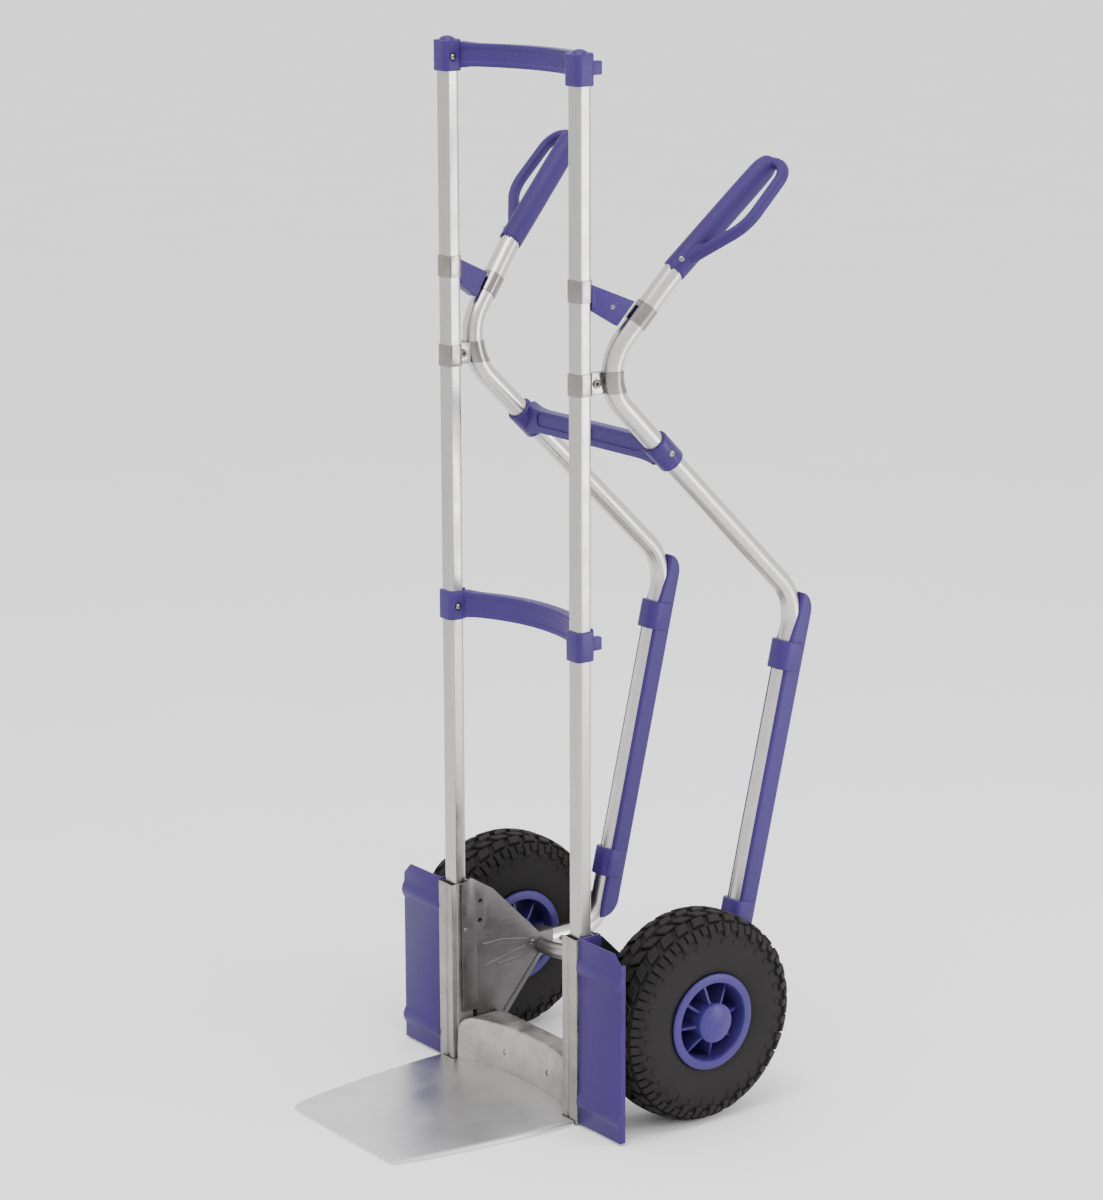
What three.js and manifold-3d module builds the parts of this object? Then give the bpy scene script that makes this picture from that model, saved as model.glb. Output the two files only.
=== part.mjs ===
// A two-wheeled hand truck with bent handle tubes, moulded grips, stair skids and pneumatic wheels.
// Millimetres, +Z up. The operator stands on the +Y side and the toe plate reaches towards -Y.
// "left" is the -X side and "right" the +X side. While a piece is made, Y = 0 is the plane of the
// uprights; the last lines centre the finished assembly.
import * as THREE from "three";
import { mergeVertices } from "three/addons/utils/BufferGeometryUtils.js";
import Module from "manifold-3d";

const wasm = await Module();
wasm.setup();

// ---- driving dimensions -------------------------------------------------------------------

const GAP = 0.3;                        // clearance left between two pieces that touch
const FACETS = 16;                      // facets around every round tube and its sleeves
const ARC_STEP = 16 * (Math.PI / 180);  // turn between two stations on a bend
const WALL = 2;                         // wall of the aluminium tubes

const upright = { x: 130.5, width: 22, depth: 20, corner: 5, foot: 8, top: 1281 };
const sleeve = { width: 28.4, depth: 26.4, corner: 7 };
const foot = { inner: 116, outer: 144.3, front: -16.5, back: 15, low: 3, high: 236, wall: 2 };
const axle = { y: 121.2, z: 130, radius: 10, bore: 8.4, bow: 36, bowFrom: 100, end: 140.5 };
const wheel = { x: 195, spokes: 8, phase: 6 * (Math.PI / 180) };
const toe = { front: -262, back: -28, halfFront: 110.6, halfBack: 141, thick: 6, rearEdge: -18 };
const riser = { half: 115.2, low: 1, high: 60, sheet: 3, shelfBack: 52 };
const gusset = { x: 112.2, sheet: 3 };
const wing = { inner: 144.6, outer: 227, front: -13.5, sheet: 3, low: 3, high: 239, ridge: 4 };

// corners of the handle tube on the +X side, from the grip down to the axle, and its bend radii
const handle = {
  radius: 12.5,
  path: [
    [185, 211.1, 1130.9], [161.6, 113.4, 1032], [137, 17.8, 914.2], [130, 332.6, 603.8], [130, 222.6, 131],
    [130, 143, 131],
  ],
  bends: [0, 300, 64, 70, 40, 0],
};
// the places of those corners in the list
const [gripEnd, gripFoot, knee, heel, ankle, toTheAxle] = handle.path.keys();

const sides = [["left", -1], ["right", 1]];

// ---- materials ----------------------------------------------------------------------------

function finish(color, roughness, metalness) {
  return new THREE.MeshStandardMaterial({ color, roughness, metalness });
}
const satinAluminium = finish("#c9c7c4", 0.38, 1);
const rawAluminium = finish("#a49d96", 0.45, 1);
const brightSteel = finish("#b9b4ae", 0.22, 1);
const bluePlastic = finish("#58508f", 0.42, 0);
const blackRubber = finish("#2e2b2b", 0.85, 0);

const handTruck = new THREE.Group();

function add(name, geometry, material) {
  const mesh = new THREE.Mesh(geometry, material);
  mesh.name = name;
  handTruck.add(mesh);
  return mesh;
}

// ---- shape helpers ------------------------------------------------------------------------

function point(x, y, z) {
  return new THREE.Vector3(x, y, z);
}

function signedVolume(positions, index) {
  const [a, b, c] = [point(), point(), point()];
  let volume = 0;
  for (let i = 0; i < index.length; i += 3) {
    a.fromArray(positions, index[i] * 3);
    b.fromArray(positions, index[i + 1] * 3);
    c.fromArray(positions, index[i + 2] * 3);
    volume += a.dot(b.cross(c)) / 6;
  }
  return volume;
}

// triangles that fill one closed ring of points, wound the way the ring runs
function ringTriangles(ring) {
  const normal = point(0, 0, 0);
  ring.forEach((p, i) => {
    normal.add(p.clone().cross(ring[(i + 1) % ring.length]));
  });
  normal.normalize();
  const across = ring[1].clone().sub(ring[0]).projectOnPlane(normal).normalize();
  const up = normal.clone().cross(across);
  const flat = ring.map((p) => new THREE.Vector2(p.dot(across), p.dot(up)));
  return THREE.ShapeUtils.triangulateShape(flat, []).map(([i, j, k]) => {
    const turn = flat[j].clone().sub(flat[i]).cross(flat[k].clone().sub(flat[i]));
    return turn > 0 ? [i, j, k] : [i, k, j];
  });
}

// a closed solid through rings with equal point counts; a looped one joins its last ring to its first
function skin(rings, looped = false) {
  const count = rings[0].length;
  const positions = rings.flat().flatMap((p) => [p.x, p.y, p.z]);
  const index = [];
  const spans = looped ? rings.length : rings.length - 1;
  for (let i = 0; i < spans; i += 1) {
    const here = i * count;
    const next = ((i + 1) % rings.length) * count;
    for (let j = 0; j < count; j += 1) {
      const k = (j + 1) % count;
      index.push(here + j, here + k, next + k, here + j, next + k, next + j);
    }
  }
  if (!looped) {
    const last = (rings.length - 1) * count;
    ringTriangles(rings[0]).forEach(([i, j, k]) => index.push(i, k, j));
    ringTriangles(rings[rings.length - 1]).forEach(([i, j, k]) => index.push(last + i, last + j, last + k));
  }
  if (signedVolume(positions, index) < 0) {
    index.reverse();
  }
  const geometry = new THREE.BufferGeometry();
  geometry.setAttribute("position", new THREE.Float32BufferAttribute(positions, 3));
  geometry.setIndex(index);
  geometry.computeVertexNormals();
  return geometry;
}

// a polyline whose corners are rounded by true arcs, with a station every 16 degrees or so
function bentPath(corners, radii) {
  const path = [corners[0]];
  for (let i = 1; i < corners.length - 1; i += 1) {
    const back = corners[i - 1].clone().sub(corners[i]).normalize();
    const on = corners[i + 1].clone().sub(corners[i]).normalize();
    const half = back.angleTo(on) / 2;
    const middle = back.clone().add(on).normalize();
    const centre = corners[i].clone().addScaledVector(middle, radii[i] / Math.sin(half));
    const from = corners[i].clone().addScaledVector(back, radii[i] / Math.tan(half)).sub(centre);
    const to = corners[i].clone().addScaledVector(on, radii[i] / Math.tan(half)).sub(centre);
    const turn = from.angleTo(to);
    const steps = Math.max(2, Math.round(turn / ARC_STEP));
    for (let k = 0; k <= steps; k += 1) {
      const t = k / steps;
      const spoke = from.clone().multiplyScalar(Math.sin((1 - t) * turn));
      spoke.addScaledVector(to, Math.sin(t * turn)).divideScalar(Math.sin(turn));
      path.push(spoke.add(centre));
    }
  }
  path.push(corners[corners.length - 1]);
  return path;
}

// frames along a path: at each point, `side` squared up to the path, and the normal across both
function framesAlong(path, side) {
  return path.map((p, i) => {
    const before = path[Math.max(i - 1, 0)];
    const after = path[Math.min(i + 1, path.length - 1)];
    const backward = i > 0 ? p.clone().sub(before).normalize() : point(0, 0, 0);
    const forward = i < path.length - 1 ? after.clone().sub(p).normalize() : point(0, 0, 0);
    const along = backward.add(forward).normalize();
    const across = side.clone().projectOnPlane(along).normalize();
    return { p, across, normal: along.clone().cross(across) };
  });
}

// sweeps a section, given at each station as [across, normal] pairs
function sweep(path, side, section) {
  return framesAlong(path, side).map((frame, i) => section(i).map(([b, n]) => (
    frame.p.clone().addScaledVector(frame.across, b).addScaledVector(frame.normal, n)
  )));
}

function circle(radius, facets = FACETS) {
  const turn = (2 * Math.PI) / facets;
  return Array.from({ length: facets }, (_, i) => [
    radius * Math.cos((i + 0.5) * turn), radius * Math.sin((i + 0.5) * turn),
  ]);
}

const alongX = point(1, 0, 0);
const alongZ = point(0, 0, 1);

function rod(path, radius, side = alongX) {
  return skin(sweep(path, side, () => circle(radius)));
}

function pipe(path, radius, bore, side = alongX) {
  const outside = sweep(path, side, () => circle(radius));
  const inside = sweep(path, side, () => circle(bore));
  return skin([...outside, ...inside.reverse()], true);
}

function roundedRectangle(width, depth, corner, cx = 0, cy = 0) {
  const shape = new THREE.Shape();
  const [w, d] = [width / 2 - corner, depth / 2 - corner];
  shape.absarc(cx + w, cy + d, corner, 0, Math.PI / 2);
  shape.absarc(cx - w, cy + d, corner, Math.PI / 2, Math.PI);
  shape.absarc(cx - w, cy - d, corner, Math.PI, Math.PI * 1.5);
  shape.absarc(cx + w, cy - d, corner, Math.PI * 1.5, Math.PI * 2);
  return shape;
}

function polygon(points) {
  return new THREE.Shape(points.map(([x, y]) => new THREE.Vector2(x, y)));
}

function upwards(shape, low, high, curveSegments = 4) {
  const settings = { depth: high - low, bevelEnabled: false, curveSegments };
  const geometry = new THREE.ExtrudeGeometry(shape, settings);
  return geometry.translate(0, 0, low);
}

// a shape drawn in (y, z), given thickness from x0 to x1
function sideways(shape, x0, x1, curveSegments = 6) {
  const settings = { depth: x1 - x0, bevelEnabled: false, curveSegments };
  const geometry = new THREE.ExtrudeGeometry(shape, settings);
  geometry.applyMatrix4(new THREE.Matrix4().makeBasis(point(0, 1, 0), point(0, 0, 1), point(1, 0, 0)));
  return geometry.translate(x0, 0, 0);
}

function block(x0, x1, y0, y1, z0, z1) {
  const geometry = new THREE.BoxGeometry(x1 - x0, y1 - y0, z1 - z0);
  return geometry.translate((x0 + x1) / 2, (y0 + y1) / 2, (z0 + z1) / 2);
}

// a turned piece about an axis along X: the profile is a closed list of [x, radius]
function turned(profile, facets = 32) {
  const closed = [...profile, profile[0]].map(([x, r]) => new THREE.Vector2(r, x));
  const geometry = new THREE.LatheGeometry(closed, facets);
  geometry.applyMatrix4(new THREE.Matrix4().makeRotationZ(-Math.PI / 2));
  return tidy(geometry);
}

// welds shared points and turns the faces outward
function tidy(geometry) {
  const bare = geometry.clone();
  bare.deleteAttribute("normal");
  bare.deleteAttribute("uv");
  const welded = mergeVertices(bare, 1e-4);
  const positions = welded.attributes.position.array;
  const faces = [];
  for (let i = 0; i < welded.index.count; i += 3) {
    const face = [0, 1, 2].map((k) => welded.index.getX(i + k));
    if (new Set(face).size === 3) {
      faces.push(...face);
    }
  }
  if (signedVolume(positions, faces) < 0) {
    faces.reverse();
  }
  welded.setIndex(faces);
  welded.computeVertexNormals();
  return welded;
}

function toManifold(geometry) {
  const clean = tidy(geometry);
  return new wasm.Manifold(new wasm.Mesh({
    numProp: 3,
    vertProperties: Float32Array.from(clean.attributes.position.array),
    triVerts: Uint32Array.from(clean.index.array),
  }));
}

function fromManifold(solid) {
  const mesh = solid.getMesh();
  const geometry = new THREE.BufferGeometry();
  geometry.setAttribute("position", new THREE.Float32BufferAttribute(mesh.vertProperties, 3));
  geometry.setIndex(Array.from(mesh.triVerts));
  geometry.computeVertexNormals();
  return geometry;
}

function fuse(...pieces) {
  return fromManifold(pieces.map(toManifold).reduce((whole, piece) => whole.add(piece)));
}

function carve(base, ...tools) {
  return fromManifold(tools.map(toManifold).reduce((left, tool) => left.subtract(tool), toManifold(base)));
}

function overlap(one, other) {
  return fromManifold(toManifold(one).intersect(toManifold(other)));
}

function screw(from, to, headRadius, headHeight, shankRadius) {
  const axis = to.clone().sub(from).normalize();
  const side = Math.abs(axis.z) < 0.9 ? point(0, 0, 1) : alongX;
  const neck = from.clone().addScaledVector(axis, headHeight);
  const stations = [from, from.clone().addScaledVector(axis, headHeight * 0.4), neck, neck, to];
  const radii = [headRadius * 0.6, headRadius, headRadius, shankRadius, shankRadius];
  const across = side.clone().projectOnPlane(axis).normalize();
  const normal = axis.clone().cross(across);
  return skin(stations.map((p, i) => circle(radii[i], 10).map(([b, n]) => (
    p.clone().addScaledVector(across, b).addScaledVector(normal, n)
  ))));
}

// ---- frame: uprights, foot profiles, crossbars ----------------------------------------------

function uprightSection(side, grow = 0) {
  const corner = upright.corner + grow;
  return roundedRectangle(upright.width + 2 * grow, upright.depth + 2 * grow, corner, side * upright.x, 0);
}

function uprightTube(side) {
  const section = uprightSection(side);
  section.holes.push(uprightSection(side, -WALL));
  return upwards(section, upright.foot, upright.top);
}

function uprightClearance(side, low, high) {
  return upwards(uprightSection(side, GAP), low, high);
}

// the lower profile around each upright, with a groove in its front and its inboard face
function footProfile(side) {
  const width = foot.outer - foot.inner;
  const depth = foot.back - foot.front;
  const cx = side * (foot.inner + foot.outer) / 2;
  const cy = (foot.front + foot.back) / 2;
  const section = roundedRectangle(width, depth, 1.5, cx, cy);
  section.holes.push(roundedRectangle(width - 2 * foot.wall, depth - 2 * foot.wall, 1, cx, cy));
  const frontGroove = [side * 127 - 3, side * 127 + 3, foot.front - 1, foot.front + 0.9, 0, 300];
  const inboard = side * foot.inner;
  const sideGroove = [inboard - 0.9, inboard + 0.9, foot.front + 3, foot.front + 9, 0, 300];
  return carve(upwards(section, foot.low, foot.high), block(...frontGroove), block(...sideGroove));
}

function sleeveBody(side, low, high) {
  const section = roundedRectangle(sleeve.width, sleeve.depth, sleeve.corner, side * upright.x, 0);
  const lugX = [side * (upright.x + 4), side * (upright.x + sleeve.width / 2 - 0.5)].sort((a, b) => a - b);
  const lugZ = (low + high) / 2 + 2;
  const lug = block(...lugX, 8, 22.5, lugZ - 8, lugZ + 8);
  return fuse(upwards(section, low, high), lug);
}

// a bar bowed towards the operator: a channel open at the back
function bowedBar(reach, front, bow, low, high) {
  const stations = 12;
  const wall = 3.5;
  const depth = 14;
  const rings = Array.from({ length: stations + 1 }, (_, i) => {
    const x = reach * ((2 * i) / stations - 1);
    const y = front + bow * (1 - Math.abs(x / 113) ** 2.2);
    const outline = [
      [0, low], [0, high], [depth, high], [depth, high - wall], [wall, high - wall], [wall, low + wall],
      [depth, low + wall], [depth, low],
    ];
    return outline.map(([v, z]) => point(x, y + v, z));
  });
  return skin(rings);
}

function topCrossbar() {
  const caps = sides.map(([, side]) => {
    const dome = new THREE.SphereGeometry(13, 20, 8, 0, 2 * Math.PI, 0, Math.PI / 2);
    dome.scale(0.85, 0.36, 0.78).rotateX(Math.PI / 2).translate(side * upright.x, 0, 1284.5);
    const lid = block(-9, 9, -8, 8, 1282, 1284.6).translate(side * upright.x, 0, 0);
    const base = new THREE.CylinderGeometry(13, 13, 4, 20).scale(0.85, 1, 0.78);
    base.rotateX(Math.PI / 2).translate(side * upright.x, 0, 1282.5);
    return fuse(sleeveBody(side, 1248, 1284.7), lid, base, closedDome(dome));
  });
  const whole = fuse(...caps, bowedBar(122, 12.5, 33.5, 1253.2, 1280.6));
  return carve(whole, ...sides.map(([, side]) => uprightClearance(side, 1230, upright.top + GAP)));
}

// closes the open base of a half sphere with a flat disc
function closedDome(dome) {
  const open = tidy(dome);
  const positions = open.attributes.position;
  let low = Infinity;
  for (let i = 0; i < positions.count; i += 1) {
    low = Math.min(low, positions.getZ(i));
  }
  const rim = [];
  for (let i = 0; i < positions.count; i += 1) {
    if (positions.getZ(i) < low + 1e-3) {
      rim.push(i);
    }
  }
  const middle = rim.reduce((sum, i) => sum.add(point().fromBufferAttribute(positions, i)), point(0, 0, 0));
  middle.divideScalar(rim.length);
  const angle = (i) => Math.atan2(positions.getY(i) - middle.y, positions.getX(i) - middle.x);
  rim.sort((i, j) => angle(i) - angle(j));
  const faces = Array.from(open.index.array);
  for (let k = 1; k < rim.length - 1; k += 1) {
    faces.push(rim[0], rim[k + 1], rim[k]);
  }
  open.setIndex(faces);
  return open;
}

function midCrossbar() {
  const sleeves = sides.map(([, side]) => sleeveBody(side, 577.5, 613.6));
  const whole = fuse(...sleeves, bowedBar(122, 9, 33.5, 580.5, 611));
  return carve(whole, ...sides.map(([, side]) => uprightClearance(side, 560, 630)));
}

sides.forEach(([name, side]) => {
  add(`${name}_upright_tube`, uprightTube(side), satinAluminium);
  add(`${name}_foot_profile`, footProfile(side), rawAluminium);
});
add("top_crossbar", topCrossbar(), bluePlastic);
add("mid_crossbar", midCrossbar(), bluePlastic);

sides.forEach(([name, side]) => {
  const face = side * (upright.x - sleeve.width / 2);
  const outward = (x) => point(face - side * x, -1.5, 0);
  const at = (z, x) => outward(x).setZ(z);
  [["cap", 1265], ["mid_sleeve", 594.5]].forEach(([place, z]) => {
    add(`${name}_${place}_screw`, screw(at(z, 2.6), at(z, 0.3), 3.6, 1.6, 3), brightSteel);
  });
});

// ---- handle tubes, grips, crossbar -----------------------------------------------------------

function handleCorners(side) {
  return handle.path.map(([x, y, z]) => point(side * x, y, z));
}

function handleCentre(side) {
  return bentPath(handleCorners(side), handle.bends);
}

function handleTube(side) {
  return pipe(handleCentre(side), handle.radius, handle.radius - WALL);
}

function handleClearance(side, grow = GAP) {
  return rod(handleCentre(side), handle.radius + grow);
}

// a point on one straight stretch of the handle tube, `from` corner to `to` corner, at height z
function onHandle(side, from, to, z) {
  const [a, b] = [handleCorners(side)[from], handleCorners(side)[to]];
  return a.clone().lerp(b, (z - a.z) / (b.z - a.z));
}

// a ring around one straight stretch of the handle tube, facet for facet
function ringOnHandle(side, from, to, z, length, radius) {
  const centre = onHandle(side, from, to, z);
  const along = handleCorners(side)[to].clone().sub(handleCorners(side)[from]).normalize();
  const ends = [-length / 2, length / 2].map((d) => centre.clone().addScaledVector(along, d));
  return pipe(ends, radius, handle.radius + GAP);
}

const grip = { radius: 14.6, length: 176, reach: 52.5, tipReach: 38, strand: 6.6 };

// sleeve over the tube's end, with a knuckle guard that stands out to the side
function gripShell(side) {
  const start = handleCorners(side)[gripFoot];
  const along = handleCorners(side)[gripEnd].clone().sub(start).normalize();
  const out = point(side, 0, 0).projectOnPlane(along).normalize();
  const place = (a, w) => start.clone().addScaledVector(along, a).addScaledVector(out, w);
  const body = [[0, 0.97], [4, 1], [112, 1], [152, 0.97], [164, 0.88], [172, 0.66], [grip.length, 0.36]];
  const sleeveRings = framesAlong(body.map(([a]) => place(a, 0)), alongX).map((frame, i) => (
    circle(grip.radius * body[i][1]).map(([b, n]) => (
      frame.p.clone().addScaledVector(frame.across, b).addScaledVector(frame.normal, n)
    ))
  ));
  const guard = bentPath(
    [place(8, 0), place(86, grip.reach), place(174, grip.tipReach), place(170, 2)],
    [0, 50, 24, 0],
  );
  const strand = rod(guard, grip.strand, out);
  return carve(fuse(skin(sleeveRings), strand), handleClearance(side));
}

const bar = { low: 801, high: 829, front: 110, back: 126, half: 128, wall: 3.5, clamp: 814.2 };

// straight channel bar between the handle tubes, ending in two slanted clamps
function handleCrossbar() {
  const { low, high, front, back, half, wall } = bar;
  const outline = [
    [front, low], [front, high], [back, high], [back, high - wall], [front + wall, high - wall],
    [front + wall, low + wall], [back, low + wall], [back, low],
  ];
  const channel = sideways(polygon(outline), -half, half);
  const middle = (low + high) / 2;
  const recess = block(-104, 104, front - 1, front + 1.4, middle - 5, middle + 11);
  const boss = new THREE.CylinderGeometry(6.6, 6.6, 3.2, 20).translate(0, front + 1.4, middle + 2.8);
  const clamps = sides.map(([, side]) => {
    const centre = onHandle(side, knee, heel, bar.clamp);
    const along = handleCorners(side)[heel].clone().sub(handleCorners(side)[knee]).normalize();
    return rod([-19, 19].map((d) => centre.clone().addScaledVector(along, d)), handle.radius + 4);
  });
  const body = fuse(carve(channel, recess), boss, ...clamps);
  return carve(body, ...sides.map(([, side]) => handleClearance(side)));
}

sides.forEach(([name, side]) => {
  add(`${name}_handle_tube`, handleTube(side), satinAluminium);
  add(`${name}_grip`, gripShell(side), bluePlastic);
});
add("handle_crossbar", handleCrossbar(), bluePlastic);
sides.forEach(([name, side]) => {
  const centre = onHandle(side, knee, heel, bar.clamp);
  const head = centre.clone().add(point(side * (handle.radius + 6.6), 0, 0));
  const tip = centre.clone().add(point(side * (handle.radius + 4.3), 0, 0));
  add(`${name}_crossbar_screw`, screw(head, tip, 4, 1.8, 3), brightSteel);
});

// ---- steel bands, spacers and straps between uprights and handle tubes -----------------------

const upperBand = { low: 1001.7, high: 1027.9, sheet: 1.2 };
const lowerStrap = { low: 893.1, high: 919.1, sheet: 1.4, waist: 9 };

function uprightBand(side) {
  const ring = uprightSection(side, GAP + upperBand.sheet);
  ring.holes.push(uprightSection(side, GAP));
  return upwards(ring, upperBand.low, upperBand.high);
}

function handleBand(side) {
  return ringOnHandle(side, gripFoot, knee, 982.7, 26, handle.radius + GAP + upperBand.sheet);
}

// flat moulded wedge that holds the handle tube off the upright
function spacer(side) {
  const start = point(side * upright.x, 0, 0);
  const away = onHandle(side, gripFoot, knee, 985).setZ(0).sub(start).normalize();
  const outline = [[4, 997], [4, 1026], [66, 1000], [44, 972]];
  const flat = new THREE.ExtrudeGeometry(polygon(outline), { depth: 14, bevelEnabled: false });
  const across = point(0, 0, 1).cross(away).negate();
  flat.translate(0, 0, -7);
  flat.applyMatrix4(new THREE.Matrix4().makeBasis(away, point(0, 0, 1), across));
  flat.translate(start.x, start.y, 0);
  const band = upwards(uprightSection(side, 2 * GAP + upperBand.sheet), 960, 1040);
  return carve(flat, band, handleClearance(side, 2 * GAP + upperBand.sheet));
}

// figure-eight strap: one loop around the upright, one around the handle tube, riveted between
function lowerBand(side) {
  const grow = GAP + lowerStrap.sheet;
  const { low, high } = lowerStrap;
  const frontLoop = upwards(uprightSection(side, grow), low, high);
  const level = block(-200, 200, -100, 100, low, high);
  const rearLoop = overlap(handleClearance(side, grow), level);
  const middle = side * 134;
  const waist = block(middle - lowerStrap.waist / 2, middle + lowerStrap.waist / 2, 8, 30, low, high);
  const rivetHole = rod([point(middle - 40, 18.5, 906), point(middle + 40, 18.5, 906)], 3.6, alongZ);
  const whole = fuse(frontLoop, rearLoop, waist);
  return carve(whole, uprightClearance(side, 880, 930), handleClearance(side), rivetHole);
}

// hollow rivet through the strap's waist
function strapRivet(side) {
  const middle = side * 134;
  const reach = lowerStrap.waist / 2;
  const profile = [
    [-reach - 2, 1.8], [-reach - 2, 5.6], [-reach - GAP, 5.6], [-reach - GAP, 3.2],
    [reach + GAP, 3.2], [reach + GAP, 5.6], [reach + 2, 5.6], [reach + 2, 1.8],
  ];
  return turned(profile, 12).translate(middle, 18.5, 906);
}

sides.forEach(([name, side]) => {
  add(`${name}_upright_band`, uprightBand(side), brightSteel);
  add(`${name}_handle_band`, handleBand(side), brightSteel);
  add(`${name}_spacer`, spacer(side), bluePlastic);
  add(`${name}_strap`, lowerBand(side), brightSteel);
  add(`${name}_strap_rivet`, strapRivet(side), brightSteel);
});

// ---- stair skids and their clips -----------------------------------------------------------

const skid = { halfWidth: 15, rear: 18.5, lip: 7.5, corner: 4, top: -9, bottom: 472, roundOff: 25 };
const clip = { halfWidth: 16.7, front: 17.5, rear: 13, corner: 12, length: 36 };

// frame of the straight lower run of the handle tube: its start, the way down it and the way back
function runFrame(side) {
  const start = handleCorners(side)[heel];
  const along = handleCorners(side)[ankle].clone().sub(start).normalize();
  return { start, along, back: alongX.clone().cross(along) };
}

// rings of a section, given at each distance down the straight run as [x, back] pairs
function downTheRun(side, distances, section) {
  const { start, along, back } = runFrame(side);
  return skin(distances.map((distance) => section(distance).map(([x, b]) => (
    start.clone().addScaledVector(along, distance).addScaledVector(back, b).add(point(x, 0, 0))
  ))));
}

// moulded profile snapped over the back of the tube: its front edge runs straight and its ends round off
function skidRail(side) {
  const { halfWidth, rear, lip, corner, top, bottom, roundOff } = skid;
  const roundedOff = [0, 0.06, 0.2, 0.4, 0.7, 1].map((t) => t * roundOff);
  const distances = [
    ...roundedOff.map((d) => top + d), 55, ...roundedOff.map((d) => bottom - d).reverse(),
  ];
  const body = downTheRun(side, distances, (distance) => {
    const fromEnd = Math.min(1, (distance - top) / roundOff, (bottom - distance) / roundOff);
    const front = -lip + 5 * Math.max(0, Math.min(1, (55 - distance) / 40));
    const back = front + 2 + (rear - front - 2) * Math.sqrt(1 - (1 - fromEnd) ** 2);
    const shoulder = Math.max(front + 0.8, back - corner);
    const cheek = Math.min(front + 3.5, shoulder - 0.4);
    return [
      [-11.8, front], [-halfWidth, cheek], [-halfWidth, shoulder], [-halfWidth + corner, back],
      [halfWidth - corner, back], [halfWidth, shoulder], [halfWidth, cheek], [11.8, front],
    ];
  });
  return carve(body, handleClearance(side));
}

// clip that reaches around the front of the tube and over the skid's sides
function skidClip(side, from) {
  const { halfWidth, front, rear, corner, length } = clip;
  const frontCorner = Array.from({ length: 5 }, (_, i) => {
    const turn = (i * Math.PI) / 8;
    return [halfWidth - corner + corner * Math.sin(turn), corner - front - corner * Math.cos(turn)];
  });
  const outside = [
    ...frontCorner, [halfWidth, rear], [-halfWidth, rear], ...frontCorner.map(([x, b]) => [-x, b]).reverse(),
  ];
  const room = skid.halfWidth + GAP;
  const inside = [
    [12, -skid.lip - GAP], [room, 3 - skid.lip], [room, rear + 5], [-room, rear + 5], [-room, 3 - skid.lip],
    [-12, -skid.lip - GAP],
  ];
  const body = downTheRun(side, [from, from + length], () => outside);
  return carve(body, downTheRun(side, [from - 5, from + length + 5], () => inside), handleClearance(side));
}

sides.forEach(([name, side]) => {
  add(`${name}_skid_rail`, skidRail(side), bluePlastic);
  add(`${name}_upper_skid_clip`, skidClip(side, 53), bluePlastic);
  add(`${name}_lower_skid_clip`, skidClip(side, 381), bluePlastic);
});

// ---- lower frame: gussets, axle, toe plate, wheel guards -------------------------------------

// upright plate from the foot profile back to the axle, in (y, z)
function gussetPlate(side) {
  const outline = polygon([
    [-3, 66], [-3, 236], [12, 242], [46, 221], [118, 148], [125, 132], [122, 114], [66, 50], [19.5, 50],
    [19.5, 66],
  ]);
  const hole = (y, z, radius) => rod([point(-160, y, z), point(160, y, z)], radius, alongZ);
  const faces = [side * gusset.x, side * (gusset.x + gusset.sheet)].sort((a, b) => a - b);
  const plate = sideways(outline, ...faces);
  return carve(plate, hole(axle.y, axle.z, axle.radius + GAP), hole(25, 209, 3), hole(24, 184, 3));
}

// cast lug outboard of the gusset: it holds the axle tube and plugs into the handle tube's open end
function axleLug(side) {
  const end = handle.path[toTheAxle];
  const from = gusset.x + gusset.sheet + GAP;
  const xs = [side * from, side * 141].sort((a, b) => a - b);
  const body = block(...xs, 106, end[1] - GAP, 114, 147);
  const plugEnds = [130, 168].map((y) => point(side * end[0], y, end[2]));
  const plug = rod(plugEnds, handle.radius - WALL - GAP);
  const axleEnds = [-160, 160].map((x) => point(x, axle.y, axle.z));
  const axleHole = rod(axleEnds, axle.radius + GAP, alongZ);
  return carve(fuse(body, plug), axleHole);
}

// cross tube: straight through the lugs, bowed towards the operator between the gussets
function axleTube() {
  const bent = Array.from({ length: 11 }, (_, i) => {
    const x = axle.bowFrom * (i / 5 - 1);
    return point(x, axle.y + (axle.bow * (1 + Math.cos((Math.PI * x) / axle.bowFrom))) / 2, axle.z);
  });
  const path = [point(-axle.end, axle.y, axle.z), ...bent, point(axle.end, axle.y, axle.z)];
  return pipe(path, axle.radius, axle.bore, alongZ);
}

const stub = { inside: 112, shoulder: 141, shoulderEnd: 157.5, radius: 7.2, fit: 8.1, end: 240.5 };

function axleStub(side) {
  const profile = [
    [stub.inside, 0], [stub.inside, stub.fit], [stub.shoulder, stub.fit], [stub.shoulder, 11],
    [stub.shoulderEnd, 11], [stub.shoulderEnd, stub.radius], [stub.end, stub.radius], [stub.end, 0],
  ];
  return turned(profile.map(([x, r]) => [side * x, r]), FACETS).translate(0, axle.y, axle.z);
}

// how far back the riser's foot lies at x
function riserFoot(x) {
  return -12 + 25 * (1 - Math.abs(x / 118) ** 3);
}

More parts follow.
